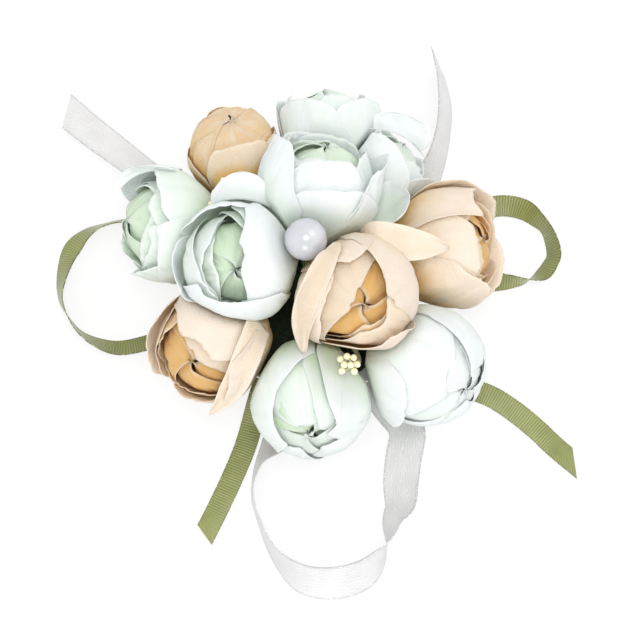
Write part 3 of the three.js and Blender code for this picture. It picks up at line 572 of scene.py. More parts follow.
# petals: share of the bud's radius, turn, half width, angle of the rim from the axis at seven places across,
# flare, roll of the lip. tone and pale shift and weaken the dye. Where a bud opens off its axis, inside gives the
# bearing and tilt of its hollow, and heart is the share of its closed middle.
petalTable = {
    "mint_left": {
        "tone": 0.17, "pale": 0.6,
        "outer": [[1, -48, 48, [104, 84, 75, 70, 66, 68, 104], 0.03, 25],
                  [1, 38, 62, [90, 66, 63, 63, 64, 74, 104], 0.03, 25],
                  [0.94, 104, 58, [104, 76, 68, 64, 66, 76, 104], 0.02, 15],
                  [0.92, 185, 60, [104, 82, 74, 70, 74, 82, 104], 0.02, 15],
                  [0.94, 262, 60, [104, 76, 64, 62, 66, 76, 104], 0.02, 15]],
        "inner": [[0.88, 8, 60, [100, 72, 57, 50, 58, 74, 100], 0, 15],
                  [0.86, -58, 56, [100, 66, 60, 60, 58, 56, 100], 0, 20],
                  [0.82, 95, 62, [100, 66, 58, 54, 58, 66, 100], 0, 15],
                  [0.8, 180, 64, [100, 70, 62, 58, 62, 70, 100], 0, 15]]},
    "peach_back_left": {
        "inside": (95, 22), "tone": 0.19,
        "outer": [[1, 2, 47, [112, 74, 68, 67, 68, 72, 98], 0.02, 20],
                  [0.89, -110, 62, [104, 84, 78, 76, 78, 84, 104], 0, -8],
                  [0.91, 78, 60, [104, 80, 72, 70, 72, 82, 104], 0, -8],
                  [0.89, 165, 60, [104, 88, 82, 80, 82, 88, 104], 0, -8]],
        "inner": [[0.84, -10, 84, [96, 5, -5, -8, 4, 24, 96], 0, 6],
                  [0.83, 78, 84, [96, 7, -2, -5, 5, 22, 96], 0, 6],
                  [0.82, 165, 88, [96, 12, 5, 4, 12, 24, 96], 0, 6],
                  [0.825, 255, 84, [96, 12, 5, 4, 10, 26, 96], 0, 6]]},
    "mint_front_left": {
        "inside": (-95, 27),
        "outer": [[1, -40, 70, [58, 27, 21, 21, 22, 25, 56], 0, -12],
                  [1, 50, 62, [104, 74, 60, 54, 52, 54, 70], 0.04, 12],
                  [0.98, 150, 52, [104, 80, 70, 64, 64, 72, 100], 0.05, 25],
                  [1, 220, 66, [100, 42, 40, 40, 45, 51, 72], 0, 15]],
        "inner": [[0.88, 110, 70, [100, 62, 43, 34, 33, 36, 80], 0.04, 20],
                  [0.81, 95, 84, [90, 49, 44, 38, 35, 38, 80], 0.02, 12],
                  [0.91, -60, 70, [80, 46, 36, 32, 36, 46, 80], 0, 10],
                  [0.84, 205, 60, [96, 60, 52, 50, 52, 60, 96], 0.03, 20]],
        "middle": [[0.75, 100, 80, [90, 44, 31, 23, 23, 34, 90], 0, 10],
                   [0.81, -50, 76, [90, 58, 48, 44, 48, 58, 90], 0, 10],
                   [0.76, 215, 60, [90, 54, 48, 46, 48, 54, 90], 0, 10]],
        "heart": 0.66},
    "mint_crown": {
        "pale": 0.8,
        "outer": [[1, 30, 60, [104, 76, 70, 68, 70, 82, 104], 0.03, 15],
                  [0.94, 14, 58, [100, 50, 42, 39, 39, 46, 96], 0, 12],
                  [1, -62, 56, [100, 60, 46, 41, 42, 54, 96], 0.05, 30],
                  [1, 95, 56, [96, 62, 54, 54, 56, 66, 104], 0.12, 50],
                  [1, 190, 62, [104, 62, 52, 50, 52, 62, 104], 0.06, 30]],
        "inner": [[0.88, 0, 62, [96, 60, 44, 38, 42, 60, 96], 0, 20],
                  [0.88, 92, 62, [96, 56, 44, 40, 44, 56, 96], 0.03, 20],
                  [0.86, 180, 62, [96, 56, 44, 40, 44, 56, 96], 0.03, 30],
                  [0.86, 265, 60, [96, 56, 44, 40, 44, 56, 96], 0.03, 20]]},
    "mint_back": {
        "tone": 0.08, "pale": 0.4,
        "outer": [[0.97, -30, 60, [104, 68, 57, 54, 57, 68, 104], 0.02, 20],
                  [0.97, 50, 58, [104, 70, 59, 56, 59, 70, 104], 0.03, 25],
                  [0.97, 150, 60, [104, 74, 65, 63, 65, 74, 104], 0.02, 20],
                  [0.97, 245, 60, [104, 70, 59, 58, 59, 70, 104], 0.03, 25]]},
    "mint_back_right": {
        "tone": 0.06, "pale": 0.45,
        "outer": [[1, 0, 66, [104, 66, 52, 48, 52, 66, 104], 0.05, 40],
                  [1, 90, 58, [104, 70, 58, 56, 58, 70, 104], 0.08, 50],
                  [1, 180, 60, [104, 72, 62, 60, 62, 72, 104], 0.06, 30],
                  [1, 270, 60, [104, 68, 54, 52, 54, 68, 104], 0.08, 40]]},
    "peach_right": {
        "tone": 0.06,
        "outer": [[1, 70, 52, [94, 62, 53, 47, 46, 58, 104], 0.06, 35],
                  [1, 26, 58, [96, 40, 34, 34, 37, 48, 96], 0, 10],
                  [1, -60, 56, [104, 66, 52, 46, 40, 34, 90], 0.04, 30],
                  [1, 165, 60, [104, 72, 62, 60, 62, 72, 104], 0.08, 50],
                  [1, 250, 58, [104, 66, 54, 50, 54, 66, 104], 0.08, 50]],
        "inner": [[0.88, 35, 62, [90, 44, 32, 27, 29, 38, 90], 0, 10],
                  [0.86, -50, 60, [96, 58, 46, 40, 38, 48, 96], 0.03, 20],
                  [0.88, 130, 62, [98, 62, 50, 46, 50, 62, 98], 0.04, 30],
                  [0.86, 220, 62, [98, 62, 50, 46, 50, 62, 98], 0.04, 30]]},
    "peach_front": {
        "inside": (-73, 25), "tone": 0.04,
        "outer": [[1, -10, 46, [104, 70, 50, 43, 48, 68, 104], 0.02, 20],
                  [1, 56, 60, [96, 51, 41, 41, 47, 58, 98], 0.03, 15],
                  [1, 165, 62, [104, 58, 48, 39, 34, 42, 104], 0.04, 30],
                  [1, -85, 70, [96, 30, 20, 15, 22, 42, 80], 0, 10]],
        "inner": [[0.92, 40, 88, [80, 28, 17, 11, 14, 20, 80], 0, 8],
                  [0.94, -145, 100, [84, 34, 27, 24, 20, 28, 80], 0.02, 10]],
        "middle": [[0.88, -142, 100, [84, 28, 21, 25, 34, 42, 80], 0, 10],
                   [0.84, 50, 80, [90, 44, 30, 26, 30, 44, 90], 0, 10]],
        "heart": 0.8},
    "peach_low_left": {
        "inside": (-124, 42),
        "outer": [[1, -84, 56, [100, 58, 48, 44, 44, 50, 98], 0.05, 20],
                  [1, 0, 60, [80, 35, 34, 35, 34, 42, 96], 0, 10],
                  [0.98, 110, 58, [104, 66, 56, 52, 56, 68, 104], 0.06, 20],
                  [0.92, 195, 56, [104, 76, 66, 62, 66, 76, 104], 0, 15]],
        "inner": [[0.91, -15, 76, [60, 22, 14, 12, 17, 24, 70], 0, 8],
                  [0.88, 110, 62, [98, 62, 50, 46, 50, 62, 98], 0.04, 30],
                  [0.9, 215, 64, [98, 64, 54, 50, 54, 64, 98], 0.04, 30]],
        "middle": [[0.84, 80, 78, [98, 62, 50, 45, 50, 62, 98], 0.03, 20],
                   [0.83, 200, 78, [98, 62, 50, 45, 50, 62, 98], 0.03, 20],
                   [0.82, 320, 78, [98, 62, 50, 45, 50, 62, 98], 0.03, 20]],
        "heart": 0.76},
    "mint_low_front": {
        "tone": 0.1,
        "outer": [[1, 76, 78, [100, 70, 49, 34, 26, 26, 70], 0, 8],
                  [1, -50, 46, [80, 40, 33, 33, 38, 56, 100], 0, 8],
                  [1, 152, 60, [104, 52, 30, 20, 26, 48, 104], 0, -16],
                  [1, 222, 62, [104, 50, 30, 18, 24, 46, 104], 0, -16],
                  [1, 275, 54, [104, 50, 30, 18, 26, 48, 104], 0, -16]],
        "inner": [[0.9, -40, 50, [60, 22, 16, 15, 22, 36, 80], 0, 8],
                  [0.88, 10, 80, [70, 24, 14, 12, 15, 22, 80], 0, 8],
                  [0.91, 150, 84, [100, 6, -5, -8, 4, 22, 100], 0, 6],
                  [0.9, 235, 84, [100, 8, -2, -5, 6, 22, 100], 0, 6]],
        "heart": 0.85},
    "mint_low_right": {
        "pale": 0.6,
        "outer": [[1.04, 68, 46, [100, 68, 62, 62, 67, 78, 100], 0.02, 15],
                  [1, 15, 66, [80, 39, 33, 29, 26, 25, 60], 0, -20],
                  [1, -85, 54, [104, 54, 32, 18, 16, 24, 80], 0, -20],
                  [1, 150, 62, [104, 54, 28, 14, 22, 46, 104], 0, -20],
                  [1, 215, 62, [104, 46, 24, 13, 24, 50, 104], 0, -20]],
        "inner": [[0.93, -10, 84, [80, 5, -5, -8, 4, 20, 80], 0, 6],
                  [0.9, 80, 80, [98, 16, 8, 6, 14, 26, 98], 0, 6],
                  [0.92, 165, 84, [98, 6, -3, -6, 5, 22, 98], 0, 6],
                  [0.92, 250, 84, [98, 12, 5, 4, 12, 24, 98], 0, 6]],
        "heart": 0.87},
}


# petals that stand away from their bud head: a spine from the pin side to the tip, half widths along it, where
# the tip starts to round off, how far the sides lift, and how near the petal may come to the bud head it lies over
openDetail = {"columns": 36, "rows": 34, "step": 0.02, "leastTip": 0.004, "uneven": 0.05, "ripple": 0.3,
              "cupRise": (0.1, 0.6), "dye": (0.5, 0.9), "rim": (0.82, 0.94)}
openPetals = [
    {"bud": "mint_left",
     "spine": [[-40.6, 21.4, 14.0], [-41.8, 24.2, 21.0], [-43.0, 26.2, 26.0], [-44.2, 27.6, 29.0], [-45.2, 28.6, 31.0]],
     "halfWidths": [4.5, 6.5, 8.0, 8.4, 8.0], "round": 0.5, "cup": -1.6, "clear": 1.02, "dye": 0.12},
    {"bud": "mint_back_right",
     "spine": [[22.6, 33.0, 20.0], [24.0, 36.0, 25.0], [25.2, 38.4, 27.6], [26.2, 40.6, 29.0], [26.9, 42.4, 29.6]],
     "wide": (1, -0.3, 0),
     "halfWidths": [4.5, 6.6, 8.2, 8.6, 8.2], "round": 0.5, "cup": 1.2, "clear": 1.02, "dye": 0.05},
    {"bud": "peach_front", "over": "peach_right",
     "spine": [[14.0, 4.6, 30.0], [15.4, 3.6, 37.0], [18.4, 3.2, 41.4], [23.2, 3.2, 40.4], [29.2, 3.2, 38.4],
               [37.0, 3.6, 35.0]],
     "halfWidths": [5.0, 5.4, 5.4, 4.9, 3.9, 1.8], "round": 0.8, "cup": 0.9, "clear": 1.03, "dye": 0.12},
    {"bud": "mint_front_left",
     "spine": [[-17.2, 4.6, 24.0], [-17.1, 10.5, 30.0], [-17.1, 14.0, 37.0], [-16.9, 17.4, 41.0], [-16.5, 21.4, 43.8]],
     "halfWidths": [5.0, 7.4, 8.9, 9.1, 8.9], "round": 0.42, "cup": 1.0, "clear": 1.01, "dye": 0.1},
    {"bud": "mint_crown",
     "spine": [[11.0, 17.6, 20.0], [14.6, 16.6, 23.2], [18.8, 15.6, 26.8], [23.4, 15.0, 29.2], [28.6, 14.6, 32.6]],
     "halfWidths": [3.0, 5.4, 7.8, 8.2, 8.0], "round": 0.55, "cup": -3.6, "clear": 1.02, "dye": 0.36},
    {"bud": "peach_front",
     "spine": [[8.6, -0.6, 44.0], [6.2, -1.4, 48.2], [3.8, -6.4, 48.8], [0.8, -13.0, 45.2], [-1.4, -18.8, 39.2],
               [-1.0, -24.4, 33.0]],
     "halfWidths": [0.8, 2.6, 3.8, 4.4, 4.5, 4.4], "round": 0.62, "cup": 0.5, "clear": 1.045, "dye": 0.2},
    {"bud": "peach_low_left",
     "spine": [[-12.6, -15.4, 29.0], [-14.2, -20.4, 31.6], [-16.6, -26.6, 31.4], [-19.2, -31.6, 28.0],
               [-22.2, -35.2, 24.0], [-26.2, -38.2, 21.0]],
     "halfWidths": [4.2, 4.4, 4.4, 4.2, 3.2, 1.6], "round": 0.8, "cup": 0.4, "clear": 1.03, "dye": 0.15},
]


def crestAt(knots, across):
    # smooth curve through the heights of the rim
    place = (across + 1) / 2 * (len(knots) - 1)
    index = np.clip(place.astype(int), 0, len(knots) - 2)
    part = place - index
    padded = np.array([2 * knots[0] - knots[1]] + knots + [2 * knots[-1] - knots[-2]], float)
    before, low, high, after = (padded[index + step] for step in range(4))
    bend = 2 * before - 5 * low + 4 * high - after + part * (3 * (low - high) + after - before)
    return low + 0.5 * part * (high - before + part * bend)


def petalPiece(bud, layer, petal, seed):
    # one petal: across runs over its width, rise from the pin to its lip
    share, turn, halfWidth, knots, flare, roll = petal
    detail = petalDetail
    piece, across, rise = flatGrid(layer["columns"], layer["rows"])
    width = np.abs(across)
    around = np.radians(turn + halfWidth * across)
    torn = sum(deep * noiseAt(across * fine + seed, part, seed) for fine, deep, part in detail["tears"])
    crest = crestAt(knots, across)
    crest += layer["ragged"] * torn * np.clip(crest / detail["tornBy"], detail["leastTorn"], 1)
    crest = np.radians(np.clip(crest, *detail["rim"]))
    full = bud["radius"] * share
    behind = pressBack(bud, -bud["axis"][None, :], full, layer["depth"])[0]
    hole = budSizes["pinRadius"] + budSizes["clearance"]
    foot = math.pi - math.asin(hole / behind)
    polar = foot + (crest - foot) * rise
    # the lip rolls over in an arc
    start = 1 - layer["lip"]
    startPolar = foot + (crest - foot) * start
    uneven = detail["roll"] + detail["rollChange"] * noiseAt(across * 1.6 + seed, 7.0, seed)
    bend = np.radians(roll) * (1 - width ** 3) * uneven
    bend = np.where(np.abs(bend) < detail["leastRoll"], detail["leastRoll"], bend)
    arc = full * (startPolar - crest) / bend
    angle = np.clip((rise - start) / layer["lip"], 0, 1) * bend
    polar = np.where(rise > start, startPolar - arc * np.sin(angle) / full, polar)
    rolled = np.where(rise > start, np.sign(bend) * np.abs(arc) * (1 - np.cos(angle)), 0)
    # pleats run up from the pin and press the cloth inwards only
    east, north, fine = np.cos(around) * layer["folds"], np.sin(around) * layer["folds"], detail["fineness"]
    fields = (noiseAt(east + bud["size"] * 31, north, polar * 0.55 + share * 9),
              noiseAt(east * fine, north * fine + bud["size"] * 17, polar * 1.5 + share * 5))
    broad, small = ((1 - np.minimum(np.abs(field) * detail["sharpness"], 1)) ** 2 for field in fields)
    ruffle = layer["ruffle"] * rise ** 5 * np.sin(across * detail["waves"] + seed * 2.1)
    lift = layer["lift"] * across * smoothStep(rise, *detail["liftRise"])
    radius = full * (1 + lift) * (1 + flare * rise ** 4 * (1 - 0.5 * width ** 2)) + rolled + ruffle
    pleats = layer["crease"] * (broad + detail["fineShare"] * small)
    radius -= pleats * smoothStep(rise, *detail["pleatRise"]) * smoothStep(np.degrees(polar), *detail["pleats"])
    direction = directionAt(bud, polar, around)
    radius = pressBack(bud, direction, np.maximum(radius, 1.0), layer["depth"] + detail["overlap"] * (1 - across))
    radius = np.where(rise < 0.001, np.maximum(radius, hole / np.sin(polar)), radius)
    setPoints(piece, (bud["centre"] + direction * radius[:, None]) * mm)
    scaleUv(piece, 2 * math.radians(halfWidth) * full, full * (foot - math.radians(min(knots))))
    rimDye, footDye = [dye * bud["pale"] for dye in layer["dye"]]
    deep = smoothStep(np.degrees(polar), *detail["dye"]) * (1 - smoothStep(rise, *detail["dyeFade"]))
    setAttribute(piece, "dye", rimDye + (footDye - rimDye) * deep + bud["tone"])
    sides = smoothStep(width, detail["sideFrom"], 1) * smoothStep(rise, *detail["sideRise"])
    setAttribute(piece, "rim", np.maximum(smoothStep(rise, detail["rimFrom"], 1), sides))
    return piece


def openPetal(bud, shape):
    # it follows its spine, rounds off at the tip, and its sides lift into a cup
    spine, detail = np.array(shape["spine"], float), openDetail
    piece, across, rise = flatGrid(detail["columns"], detail["rows"])
    spots = [np.stack([crestAt(list(column), np.clip(rise + step, 0, 1) * 2 - 1) for column in spine.T], axis=1)
             for step in (-detail["step"], 0, detail["step"])]
    run = spots[2] - spots[0]
    run /= np.linalg.norm(run, axis=1)[:, None]
    wide = np.cross(run, spots[1] - bud["centre"])
    if "wide" in shape:
        # a petal that opens straight out has its width set
        wide = np.array(shape["wide"]) - run * (run @ shape["wide"])[:, None]
    wide /= np.linalg.norm(wide, axis=1)[:, None]
    up = np.cross(wide, run)
    tip = np.clip((rise - shape["round"]) / (1 - shape["round"]), 0, 1)
    half = crestAt(shape["halfWidths"], rise * 2 - 1) * np.sqrt(np.maximum(1 - tip ** 2, detail["leastTip"]))
    edge = np.maximum(np.abs(across), tip)
    half *= 1 + detail["uneven"] * noiseAt(rise * 7, np.sign(across), 4.0)
    lift = shape["cup"] * edge ** 2 * smoothStep(rise, *detail["cupRise"])
    lift += detail["ripple"] * noiseAt(across * 2.5, rise * 4, 2.0) * rise
    points = spots[1] + wide * (half * across)[:, None] + up * lift[:, None]
    away = points - bud["centre"]
    far = np.linalg.norm(away, axis=1)
    points = bud["centre"] + away * (np.maximum(far, bud["radius"] * shape["clear"]) / far)[:, None]
    setPoints(piece, points * mm)
    scaleUv(piece, 2 * max(shape["halfWidths"]), float(np.linalg.norm(np.diff(spine, axis=0), axis=1).sum()))
    setAttribute(piece, "dye", shape["dye"] * (1 - smoothStep(edge, *detail["dye"])))
    setAttribute(piece, "rim", smoothStep(edge, *detail["rim"]))
    return piece


def whorlPiece(bud, name, rows):
    # rows hold the layer's name and the petal
    petals = [petalPiece(bud, layers[layer], petal, index * 1.7 + bud["size"] * 13)
              for index, (layer, petal) in enumerate(rows)]
    if name == bud["name"] + "_cloth_outer_petals":
        byName = {other["name"]: other for other in buds}
        petals += [openPetal(byName[shape.get("over", bud["name"])], shape)
                   for shape in openPetals if shape["bud"] == bud["name"]]
    piece = joinPieces(petals, name)
    applyModifier(piece, "SOLIDIFY", thickness=clothThickness * mm, offset=0.0)
    shadeSmooth(piece)
    return piece


# flat squares that a full size bud head is cut from, and the cloth in each degree of width and height of a petal
flatCuts = {"outer_petals": 74.0, "inner_petals": 66.0, "centre_bud": 52.0}
clothPerDegree, footAngle = 0.095, 176

# what stands evenly round the axis where the table has no petals, and the heart, whose first petal closes over the rest
evenPetals = {"inner": {"count": 4, "share": 0.87, "turn": 0, "halfWidth": 62, "flare": 0.04, "roll": 25},
              "middle": {"count": 3, "share": 0.79, "turn": 40, "halfWidth": 78, "flare": 0.03, "roll": 20}}
evenRim = [98, 62, 50, 45, 50, 62, 98]
heartPetals = {"share": 0.7, "sink": 0.006, "turn": 15, "halfWidth": 88, "roll": 4,
               "rims": [[96, 4, -5, -8, 2, 22, 96]] + [[96, 9, 4, 3, 10, 26, 96]] * 3}


def petalRows(layer, bud):
    # each petal of a layer, with the layer's name
    table = petalTable[bud["name"]]
    if layer == "heart":
        even, share = heartPetals, table.get("heart", heartPetals["share"])
        petals = [[share - even["sink"] * step, bud["innerTurn"] + even["turn"] + 90 * step, even["halfWidth"], rim, 0,
                   even["roll"]] for step, rim in enumerate(even["rims"])]
    elif layer in table:
        petals = table[layer]
    else:
        even = evenPetals[layer]
        petals = [[even["share"], bud["innerTurn"] + even["turn"] + 360 / even["count"] * step, even["halfWidth"],
                   evenRim, even["flare"], even["roll"]] for step in range(even["count"])]
    return [(layer, petal) for petal in petals]


def buildBud(bud):
    name, table = bud["name"], petalTable[bud["name"]]
    bud["tone"], bud["pale"] = table.get("tone", 0), table.get("pale", 1)
    inside = {**bud, **facing(*table["inside"])} if "inside" in table else bud
    for part, shape, rows in (("outer_petals", bud, petalRows("outer", bud)),
                              ("inner_petals", inside, petalRows("inner", bud) + petalRows("middle", bud)),
                              ("centre_bud", inside, petalRows("heart", bud))):
        piece = whorlPiece(shape, name + "_cloth_" + part, rows)
        slot = bud["tint"] + ("_petal" if part == "outer_petals" else "_inside")
        finishPiece(piece, bud["tint"], slot, name + "_" + part)
        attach(piece, "pad")
        side = flatCuts[part] * mm * bud["size"]
        cloth = sum(petal[0] ** 2 * petal[2] * (footAngle - petal[3][3]) for layer, petal in rows) * clothPerDegree
        cloth = min(cloth * (mm * bud["size"]) ** 2, side * side)
    finishNode(name + "_calyx", "stem")


def finishNode(node, finish):
    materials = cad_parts[node].data.materials
    materials.clear()
    materials.append(finishes[finish])


buds = readBuds()
setWalls(buds)
for bud in buds:
    buildBud(bud)
print("bud heads made:", len(buds))


# Pearl on its wire

def buildPearl():
    deselectAll()
    place = Vector(pearlSizes["place"]) * mm
    bpy.ops.mesh.primitive_uv_sphere_add(segments=pearlSizes["segments"], ring_count=pearlSizes["rings"],
                                         radius=pearlSizes["radius"] * mm, location=place)
    pearl = bpy.context.object
    pearl.name = pearl.data.name = "pearl_bead"
    # the bore that the wire is glued into
    bpy.ops.object.mode_set(mode="EDIT")
    bpy.ops.mesh.select_all(action="DESELECT")
    bpy.ops.object.mode_set(mode="OBJECT")
    low = min(polygon.center.z for polygon in pearl.data.polygons)
    for polygon in pearl.data.polygons:
        polygon.select = polygon.center.z < low + 0.02 * mm
    bpy.ops.object.mode_set(mode="EDIT")
    bpy.ops.mesh.extrude_region_move(TRANSFORM_OT_translate={"value": (0, 0, pearlSizes["bore"] * mm)})
    bpy.ops.object.mode_set(mode="OBJECT")
    placeInMesh(pearl)
    shadeSmooth(pearl, 50)
    finishPiece(pearl, "pearl", "pearl", "pearl")
    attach(pearl, "pad")
    finishNode("pearl_wire", "wire")


buildPearl()
print("pearl made")


# Stamens

def threadPiece(points, radius, name):
    curve = bpy.data.curves.new(name, "CURVE")
    curve.dimensions = "3D"
    curve.bevel_depth = radius * mm
    curve.bevel_resolution = stamenSizes["sides"]
    curve.resolution_u = stamenSizes["steps"]
    curve.use_fill_caps = True
    spline = curve.splines.new("BEZIER")
    spline.bezier_points.add(len(points) - 1)
    for knot, point in zip(spline.bezier_points, points):
        knot.co = Vector(point) * mm
        knot.handle_left_type = knot.handle_right_type = "AUTO"
    piece = bpy.data.objects.new(name, curve)
    bpy.context.collection.objects.link(piece)
    pick(piece)
    bpy.ops.object.convert(target="MESH")
    return bpy.context.object


def beadPiece(place, toward):
    deselectAll()
    bpy.ops.mesh.primitive_uv_sphere_add(segments=stamenSizes["segments"], ring_count=stamenSizes["rings"],
                                         radius=stamenSizes["bead"] * mm)
    bead = bpy.context.object
    points = pointsOf(bead)
    points *= 1 + stamenSizes["uneven"] * noiseAt(*(points.T * stamenSizes["grain"] + place[0]))[:, None]
    turned = Vector(toward).to_track_quat("Z", "Y").to_matrix()
    points = (points * stamenSizes["beadShape"]) @ np.array(turned).T
    setPoints(bead, points + np.array(place) * mm)
    return bead


def buildStamens(name, cluster):
    stalk = cluster["stalk"]
    pieces = [threadPiece(stalk, stamenSizes["stalk"], "stalk")]
    fork = Vector(stalk[-1])
    # clump draws the beads closer round their middle
    centre = np.mean(cluster["beads"], axis=0)
    for bead in cluster["beads"]:
        bead = centre + (np.array(bead) - centre) * cluster.get("clump", 1)
        place = Vector(bead)
        side = Vector((random.uniform(-1, 1), random.uniform(-1, 1), 0)) * stamenSizes["bow"]
        start = fork - Vector((0, 0, 1))
        middle = fork.lerp(place, 0.5) + side
        pieces.append(threadPiece([start, middle, place], stamenSizes["thread"], "thread"))
        pieces.append(beadPiece(bead, place - fork))
    whole = joinPieces(pieces, name + "_threads")
    shadeSmooth(whole)
    finishPiece(whole, "stamen", "stamen", name)
    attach(whole, "pad")


for name, cluster in stamenTable.items():
    buildStamens(name, cluster)
print("stamens made")


# Pad: felt discs and the taped stem bundle

padSizes = {"radius": 26.5, "felt": 1.5, "bevel": 0.45, "bevelRound": 0.12, "edgeShare": 0.45, "uneven": 0.008,
            "rings": 4, "ringStep": 4.5, "under": 0.0, "over": 3.4, "bundleRadius": 5.5, "bundleHeight": 9.3,
            "bundleFoot": 5.2, "shoulder": 1.6, "shoulderShare": 0.7, "wraps": 7, "lapShare": 0.1, "lapIn": 0.965,
            "sides": 96, "grain": 90, "bundleSides": 48, "bundleUneven": 0.05, "bundleGrain": 500}


def feltDisc(name, base):
    deselectAll()
    height = padSizes["felt"] * mm
    bpy.ops.mesh.primitive_cylinder_add(vertices=padSizes["sides"], radius=padSizes["radius"] * mm, depth=height,
                                        location=(0, 0, base * mm + height / 2))
    disc = bpy.context.object
    placeInMesh(disc)
    bpy.ops.object.mode_set(mode="EDIT")
    bpy.ops.mesh.select_all(action="SELECT")
    bpy.ops.mesh.select_mode(type="FACE")
    bpy.ops.object.mode_set(mode="OBJECT")
    for polygon in disc.data.polygons:
        polygon.select = abs(polygon.normal.z) > 0.9
    bpy.ops.object.mode_set(mode="EDIT")
    bpy.ops.mesh.inset(thickness=padSizes["bevel"] * mm)
    for step in range(padSizes["rings"]):
        bpy.ops.mesh.inset(thickness=padSizes["ringStep"] * mm)
    bpy.ops.object.mode_set(mode="OBJECT")
    points = pointsOf(disc)
    out = np.hypot(points[:, 0], points[:, 1])
    rim = out > (padSizes["radius"] - 0.01) * mm
    middle = base * mm + height / 2
    points[rim, 2] = middle + (points[rim, 2] - middle) * padSizes["edgeShare"]
    cut = 1 + padSizes["uneven"] * noiseAt(*(points[:, :2].T * padSizes["grain"]), base)
    points[:, :2] *= np.minimum(cut, 1.0)[:, None]
    setPoints(disc, points)
    applyModifier(disc, "BEVEL", width=padSizes["bevelRound"] * mm, segments=2, angle_limit=math.radians(25))
    shadeSmooth(disc, 40)
    disc.name = disc.data.name = name
    return disc


def buildBundle():
    deselectAll()
    radius, height, foot = (padSizes[key] * mm for key in ("bundleRadius", "bundleHeight", "bundleFoot"))
    bpy.ops.mesh.primitive_circle_add(vertices=padSizes["bundleSides"], radius=radius, fill_type="NGON",
                                      location=(0, 0, foot))
    bundle = bpy.context.object
    placeInMesh(bundle)
    bpy.ops.object.mode_set(mode="EDIT")
    bpy.ops.mesh.select_all(action="SELECT")
    step = (height - padSizes["shoulder"] * mm) / padSizes["wraps"]
    lap, lapIn = padSizes["lapShare"], padSizes["lapIn"]
    # each turn of tape laps over the one below
    rises = [(step * (1 - lap), lapIn), (step * lap, 1 / lapIn)] * padSizes["wraps"]
    for rise, scale in rises + [(padSizes["shoulder"] * mm, padSizes["shoulderShare"])]:
        bpy.ops.mesh.extrude_region_move(TRANSFORM_OT_translate={"value": (0, 0, rise)})
        bpy.ops.transform.resize(value=(scale, scale, 1))
    bpy.ops.mesh.select_all(action="SELECT")
    bpy.ops.mesh.normals_make_consistent(inside=False)
    bpy.ops.object.mode_set(mode="OBJECT")
    points = pointsOf(bundle)
    wrinkles = noiseAt(*(points.T * padSizes["bundleGrain"]))
    points[:, :2] *= (1 - padSizes["bundleUneven"] * np.abs(wrinkles))[:, None]
    setPoints(bundle, points)
    shadeSmooth(bundle, 50)
    bundle.name = bundle.data.name = "taped_bundle"
    finishPiece(bundle, "tape", "floral_tape", "stem_bundle")
    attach(bundle, "pad")


for name, base, node in (("felt_under_disc", padSizes["under"], "felt_underside"),
                         ("felt_upper_disc", padSizes["over"], "felt_top")):
    disc = feltDisc(name, base)
    finishPiece(disc, "felt", "felt", node)
    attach(disc, "pad")
buildBundle()
print("pad made")


# Ribbons: the routes of the part, with a finer mesh

ribbonSizes = {"hinge": 27.4, "bend": 3, "straight": 3.5, "thickness": 0.3, "solid": 0.5, "drop": 9.0, "cup": 0.12,
               "buckle": 0.1, "gap": 0.02, "glued": 0.05, "short": 0.3, "stack": 0.1, "stackMiddle": 1.5,
               "rim": (0.84, 0.92), "middleRim": (0.8, 0.9), "settled": (0.6, 0.9), "cupped": (1, 6), "cutFrom": 0.8,
               "columns": 12, "loopSteps": 220, "tailSteps": 130, "middleGrid": (6, 24),
               "white": {"width": 10.0, "root": 2.05, "dropStart": 1.0},
               "green": {"width": 6.0, "root": 2.85, "dropStart": 4.0}}
